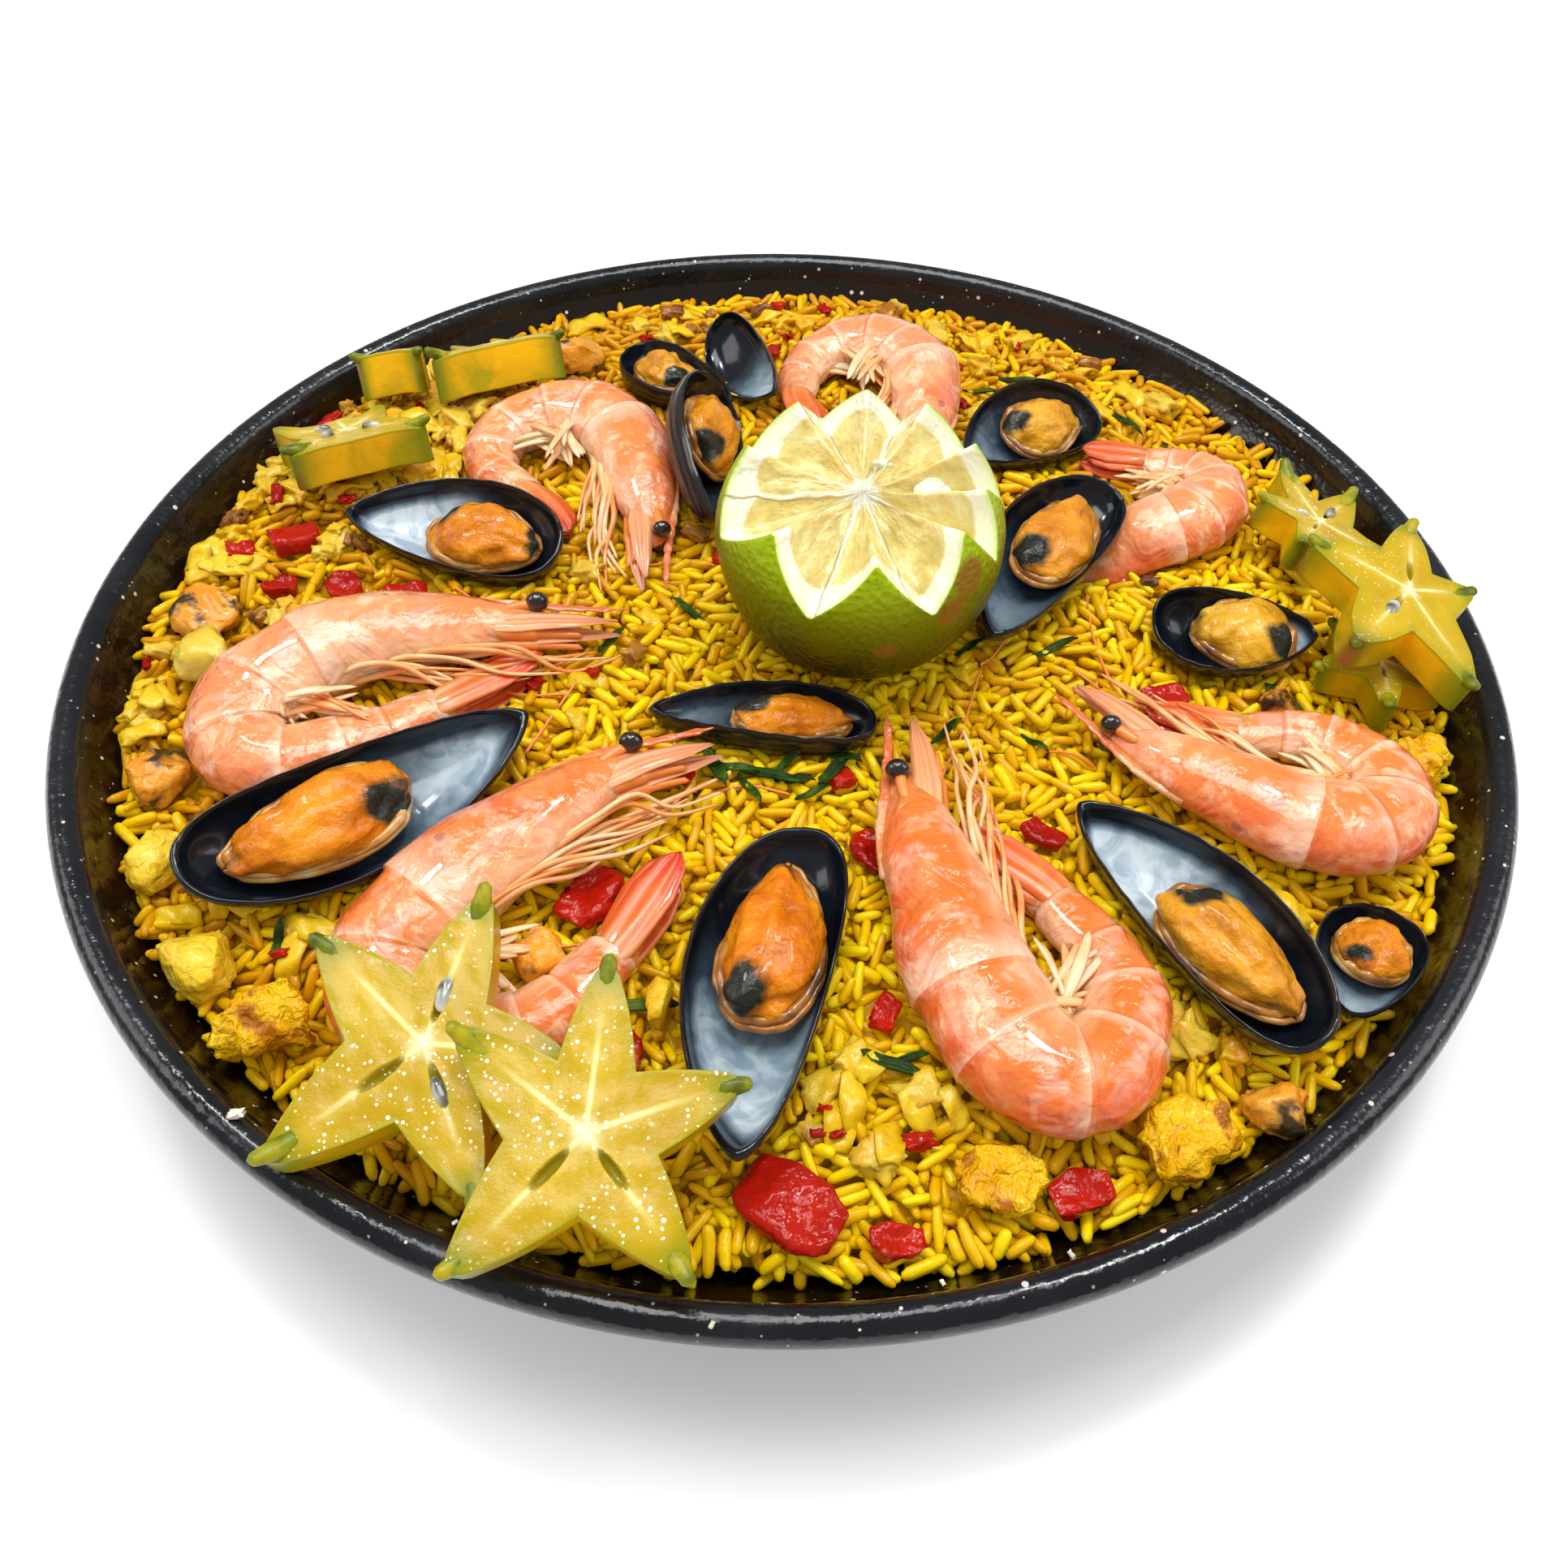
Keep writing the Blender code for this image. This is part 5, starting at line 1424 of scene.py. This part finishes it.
pip_coat, tree, shader, at = finish("lime_pip", {"Roughness": 0.25, "Coat Weight": 0.6,
                                                 "Subsurface Weight": 0.3})
patch = clouds(tree, at, 200.0, 2.0)
paint(tree, shader, ramp(tree, patch, [(0.35, (0.62, 0.54, 0.30)), (0.5, (0.88, 0.84, 0.62)),
                                       (0.7, (0.95, 0.92, 0.78))]))
relief(tree, shader, patch, 0.0004)
parts = []
for tooth, inner, size, turn in ((3.55, 0.47, (4.0, 3.0, 3.2), 0.5), (3.25, 0.60, (1.6, 2.6, 1.8), 0.2),
                                 (5.2, 0.34, (1.2, 2.4, 0.9), 1.4)):
    angle, radius, height = (float(np.atleast_1d(v)[0]) for v in
                             lime_surface(np.array([tooth]), np.array([0.5 * inner]))[:3])
    bm = bmesh.new()
    bmesh.ops.create_uvsphere(bm, u_segments=24, v_segments=16, radius=1.0)
    bmesh.ops.scale(bm, vec=size, verts=bm.verts)
    bmesh.ops.rotate(bm, cent=(0, 0, 0), matrix=Matrix.Rotation(turn, 3, "Z"), verts=bm.verts)
    for vert in bm.verts:
        vert.co *= 1.0 + 0.12 * noise.noise(vert.co * 0.5 + Vector((tooth, 0, 0)))
    spot = LIME_LEAN @ Vector((radius * math.cos(angle), radius * math.sin(angle), height + 0.5 * size[2]))
    bmesh.ops.translate(bm, vec=spot + LIME_MIDDLE, verts=bm.verts)
    bmesh.ops.scale(bm, vec=(MM, MM, MM), verts=bm.verts)
    parts.append((bm, 0))
piece("lime_pips", gathered(parts), [pip_coat], "lime")

# ---------------------------------------------------------------------------------------------
# What lies loose on the rice: soft onion, vegetable dice, bits of pepper and of dark meat, herb
# leaves, broken prawn feelers, and white crumbs on the wall and the rim of the pan.

bm = bmesh.new()
bmesh.ops.create_grid(bm, x_segments=9, y_segments=3, size=0.5)
for vert in bm.verts:
    x, y = vert.co.x, vert.co.y
    vert.co = (x, y * (1.0 - 1.6 * x * x), 0.45 - 2.6 * x * x + 0.3 * math.sin(9.0 * x + 4.0 * y))
bmesh.ops.solidify(bm, geom=bm.faces[:], thickness=0.4)
sliver = shape_points(bm)

bm = bmesh.new()
bmesh.ops.create_cube(bm, size=1.0)
bmesh.ops.subdivide_edges(bm, edges=bm.edges, cuts=4, use_grid_fill=True)
for vert in bm.verts:
    vert.co *= 0.95 - 0.42 * vert.co.length ** 2 + 0.55 * noise.noise(vert.co * 2.1 + Vector((4, 1, 2)))
lump = shape_points(bm)

bm = bmesh.new()
bmesh.ops.create_grid(bm, x_segments=12, y_segments=4, size=0.5)
for vert in bm.verts:
    x, y = vert.co.x, vert.co.y
    vert.co = (x, y * math.sqrt(max(0.0, 1.0 - 4.0 * x * x)) + 0.16 * math.sin(3.0 * x),
               0.7 * abs(y) + 0.5 * math.sin(4 * x))
bmesh.ops.remove_doubles(bm, verts=bm.verts, dist=0.0001)
bmesh.ops.solidify(bm, geom=bm.faces[:], thickness=0.16)
leaf = shape_points(bm)

soft_onion = cooked("onion_sliver", [(0.66, 0.36, 0.002), (0.78, 0.50, 0.008), (0.84, 0.62, 0.06)], 70.0,
                    0.0004, 0.30, (0.52, 0.26, 0.004))
diced = cooked("vegetable_dice", [(0.64, 0.24, 0.003), (0.76, 0.46, 0.010), (0.70, 0.50, 0.05),
                                  (0.82, 0.33, 0.003)], 45.0, 0.0010, 0.40, (0.36, 0.12, 0.003))
dark_meat = cooked("dark_meat", [(0.10, 0.03, 0.012), (0.30, 0.11, 0.02), (0.50, 0.22, 0.03)], 60.0,
                   0.0008, 0.35, (0.03, 0.012, 0.008))
herb, tree, shader, at = finish("herb", {"Roughness": 0.5, "Specular IOR Level": 0.2})
patch = clouds(tree, at, 240.0, 2.0)
paint(tree, shader, ramp(tree, patch, [(0.35, (0.006, 0.020, 0.001)), (0.55, (0.020, 0.060, 0.002)),
                                       (0.70, (0.08, 0.14, 0.004))]))
relief(tree, shader, patch, 0.0004)
crumb_white, tree, shader, at = finish("crumb", {"Roughness": 0.5})
patch = clouds(tree, at, 400.0)
paint(tree, shader, ramp(tree, patch, [(0.35, (0.66, 0.60, 0.42)), (0.60, (0.88, 0.86, 0.76))]))

# Parts of the dish, as turn from, turn to, radius from, radius to
LEFT, FRONT = (132, 226, 84, 145), (268, 325, 108, 138)
BACK, MIDDLE = (40, 130, 100, 140), (0, 360, 25, 105)

# The lowest ceiling within three cells of each cell, so that loose bits keep clear of what lies above
low_places = np.pad(ceiling, 3, mode="edge")
roof = np.min([low_places[a:a + count, b:b + count] for a in range(7) for b in range(7)], axis=0)


def laid(places, size_low, size_high, slim, flat, sink, seed):
    """Seats for loose bits. Places are (part of the dish, how many); sizes are lengths in mm; slim and
    flat are breadth and height as shares of the length, and sink a share of the height."""
    dice = np.random.default_rng(seed)
    seats = []
    for (turn_low, turn_high, near, far), wanted in places:
        placed = 0
        for _ in range(wanted * 30):
            turn, radius = math.radians(dice.uniform(turn_low, turn_high)), dice.uniform(near, far)
            x, y, yaw = radius * math.cos(turn), radius * math.sin(turn), dice.uniform(0.0, math.tau)
            length = dice.uniform(size_low, size_high)
            breadth, thick = length * slim * dice.uniform(0.8, 1.2), length * flat
            ix, iy, middle, slope, top = let_fall(x, y, yaw, length, breadth, sink * thick, 0.5, thick)
            reach = np.hypot(line[ix], line[iy]).max()
            i, j = cell_at(x, y)
            if np.any(top > roof[ix, iy] + 0.3) or reach > 148.0 or middle > target[i, j] + 3.8:
                continue
            np.maximum.at(heap, (ix, iy), top)
            middle_seat, axes = grain_seat(x, y, middle, yaw, slope, length, breadth,
                                           0.5 + dice.uniform(-0.06, 0.06))
            axes[2] *= thick / np.linalg.norm(axes[2])
            seats.append((middle_seat, axes))
            placed += 1
            if placed == wanted:
                break
    return seats


def scatter(name, shape, seats, material, slot):
    strewn(name, shape, seats, [0.5] * len(seats), material, slot)


BITS = (
    ("vegetable_dice", lump, [(LEFT, 95), (FRONT, 13), (BACK, 18), (MIDDLE, 5)],
     (4.0, 11.5, 0.75, 0.5, 0.5, 21), diced, "meat"),
    ("onion_slivers", sliver, [(LEFT, 56), (FRONT, 12), (BACK, 12), (MIDDLE, 10)],
     (7.0, 13.0, 0.5, 0.20, 0.6, 22), soft_onion, "meat"),
    ("pepper_bits", lump, [(LEFT, 18), (FRONT, 6), (BACK, 8), (MIDDLE, 6)],
     (3.0, 7.5, 0.6, 0.4, 0.4, 23), skin_red, "pepper"),
    ("dark_bits", lump, [(LEFT, 16), (BACK, 10), (MIDDLE, 5)],
     (3.5, 9.0, 0.6, 0.45, 0.45, 24), dark_meat, "meat"),
)
for name, shape, places, sizes, material, slot in BITS:
    scatter(name, shape, laid(places, *sizes), material, slot)

# Each leaf: x and y of its two ends, and its width
HERBS = [(16.5, -108.4, 24.4, -112.6, 3.0), (18.5, -111.0, 27.0, -107.5, 2.0),
         (-31.0, -98.6, -19.8, -97.2, 3.2), (-15.6, -37.0, -12.5, -47.2, 3.5),
         (-10.2, -39.5, 1.9, -45.9, 3.0), (7.8, -46.8, 12.9, -40.0, 3.4), (-3.0, -41.0, 4.0, -38.0, 2.4),
         (-50.5, -45.1, -44.1, -49.3, 4.0), (56.2, -6.3, 64.9, -2.2, 2.4),
         (-96.2, -88.3, -94.1, -83.0, 2.4), (57.0, 104.9, 67.7, 99.6, 2.6),
         (109.0, -12.4, 114.1, -19.0, 4.0), (-41.5, -8.0, -37.4, -2.7, 2.4),
         (99.5, 75.4, 104.7, 68.7, 2.4), (86.3, 89.2, 91.4, 78.6, 2.2), (38.9, -5.6, 43.8, -2.8, 2.0),
         (-19.0, 3.0, -25.0, 8.0, 2.4), (48.0, 96.0, 55.0, 93.0, 2.0), (-1.0, -43.5, 5.5, -45.5, 3.0),
         (-14.0, -41.5, -6.5, -43.0, 2.6), (-8.5, -44.0, -5.0, -51.0, 2.2),
         (10.0, -36.5, 15.5, -40.5, 2.6), (3.5, -50.0, 9.0, -47.5, 2.0), (21.0, -38.0, 25.0, -43.0, 2.0),
         (32.0, -32.5, 37.5, -30.0, 2.2), (-24.0, -52.0, -19.0, -49.0, 1.8),
         (52.0, -30.0, 55.5, -35.0, 1.8)]
seats = []
for x0, y0, x1, y1, wide in HERBS:
    x, y = 0.5 * (x0 + x1), 0.5 * (y0 + y1)
    yaw, length = math.atan2(y1 - y0, x1 - x0), math.hypot(x1 - x0, y1 - y0)
    ix, iy, middle, slope, top = let_fall(x, y, yaw, length, wide, 0.2, 0.4, 1.0)
    place, axes = grain_seat(x, y, middle - 0.1, yaw, slope, length, 0.75 * wide, 0.5)
    axes[2] *= 1.6 / np.linalg.norm(axes[2])
    seats.append((place, axes))
scatter("herb_leaves", leaf, seats, herb, "rice")

# Broken feelers on the rice, as x and y along each
FEELERS = [[(30.9, -51.0), (34.0, -41.1), (37.9, -31.9), (40.6, -22.4), (44.9, -7.4)],
           [(76.2, -23.8), (72.5, -11.6), (70.5, 1.2), (70.3, 14.8)],
           [(66.0, -38.5), (60.7, -37.0), (55.4, -35.0)], [(73.0, -21.5), (68.6, -14.2), (64.5, -9.6)],
           [(-54.5, -38.9), (-49.7, -28.6), (-45.2, -19.3)], [(-52.0, 5.4), (-46.0, 3.3), (-38.4, 2.7)],
           [(-65.2, -18.2), (-57.4, -22.9), (-46.7, -22.6)],
           [(-34.6, 20.0), (-23.2, 23.2), (-13.4, 20.6)],
           [(-52.0, -85.4), (-42.8, -85.9), (-33.2, -85.0)], [(-77.0, 10.1), (-68.7, 5.5), (-59.1, 3.8)],
           [(43.4, -11.2), (46.8, -7.3), (50.9, -1.1)], [(-18.0, -50.0), (-8.0, -46.0), (2.0, -48.0)]]
parts = []
for k, route in enumerate(FEELERS):
    path = []
    for x, y in route:
        i, j = cell_at(x, y)
        path.append((x, y, min(43.0, max(heap[i, j], target[i, j]) + 0.9)))
    thick = 0.34 + 0.05 * (k % 3)
    parts.append((limb(path, ([0, 1], [thick, 0.6 * thick]), ([0, 1], [thick, 0.6 * thick]), 6, 30,
                       {"tone": 1.1}), 0))
piece("prawn_feelers", gathered(parts), [leg_cream], "prawn")

# Crumbs on the wall and the rim: x, y and size
CRUMBS = [(-92.0, -124.0, 3.4), (-86.9, -131.6, 2.2), (-13.5, -150.5, 1.8), (27.4, -150.2, 1.3),
          (-51.8, -142.0, 1.2), (50.0, -142.4, 1.6), (-127.4, -74.1, 1.4), (90.7, 117.7, 1.5),
          (-9.1, -157.6, 1.4), (112.0, -96.0, 1.3)]
seats = []
for k, (x, y, size) in enumerate(CRUMBS):
    radius = math.hypot(x, y)
    lift = float(wall_height(np.array(radius))) if radius < 151.0 else 39.4
    turn = 1.7 * k
    axes = np.array([[math.cos(turn), math.sin(turn), 0.2], [-math.sin(turn), math.cos(turn), 0.0],
                     [0.0, -0.2, 1.0]])
    seats.append((np.array([x, y, lift + 0.35 * size]),
                  axes * np.array([[size], [0.6 * size], [0.5 * size]])))
scatter("crumbs", lump, seats, crumb_white, "rice")

# ---------------------------------------------------------------------------------------------
low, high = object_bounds()
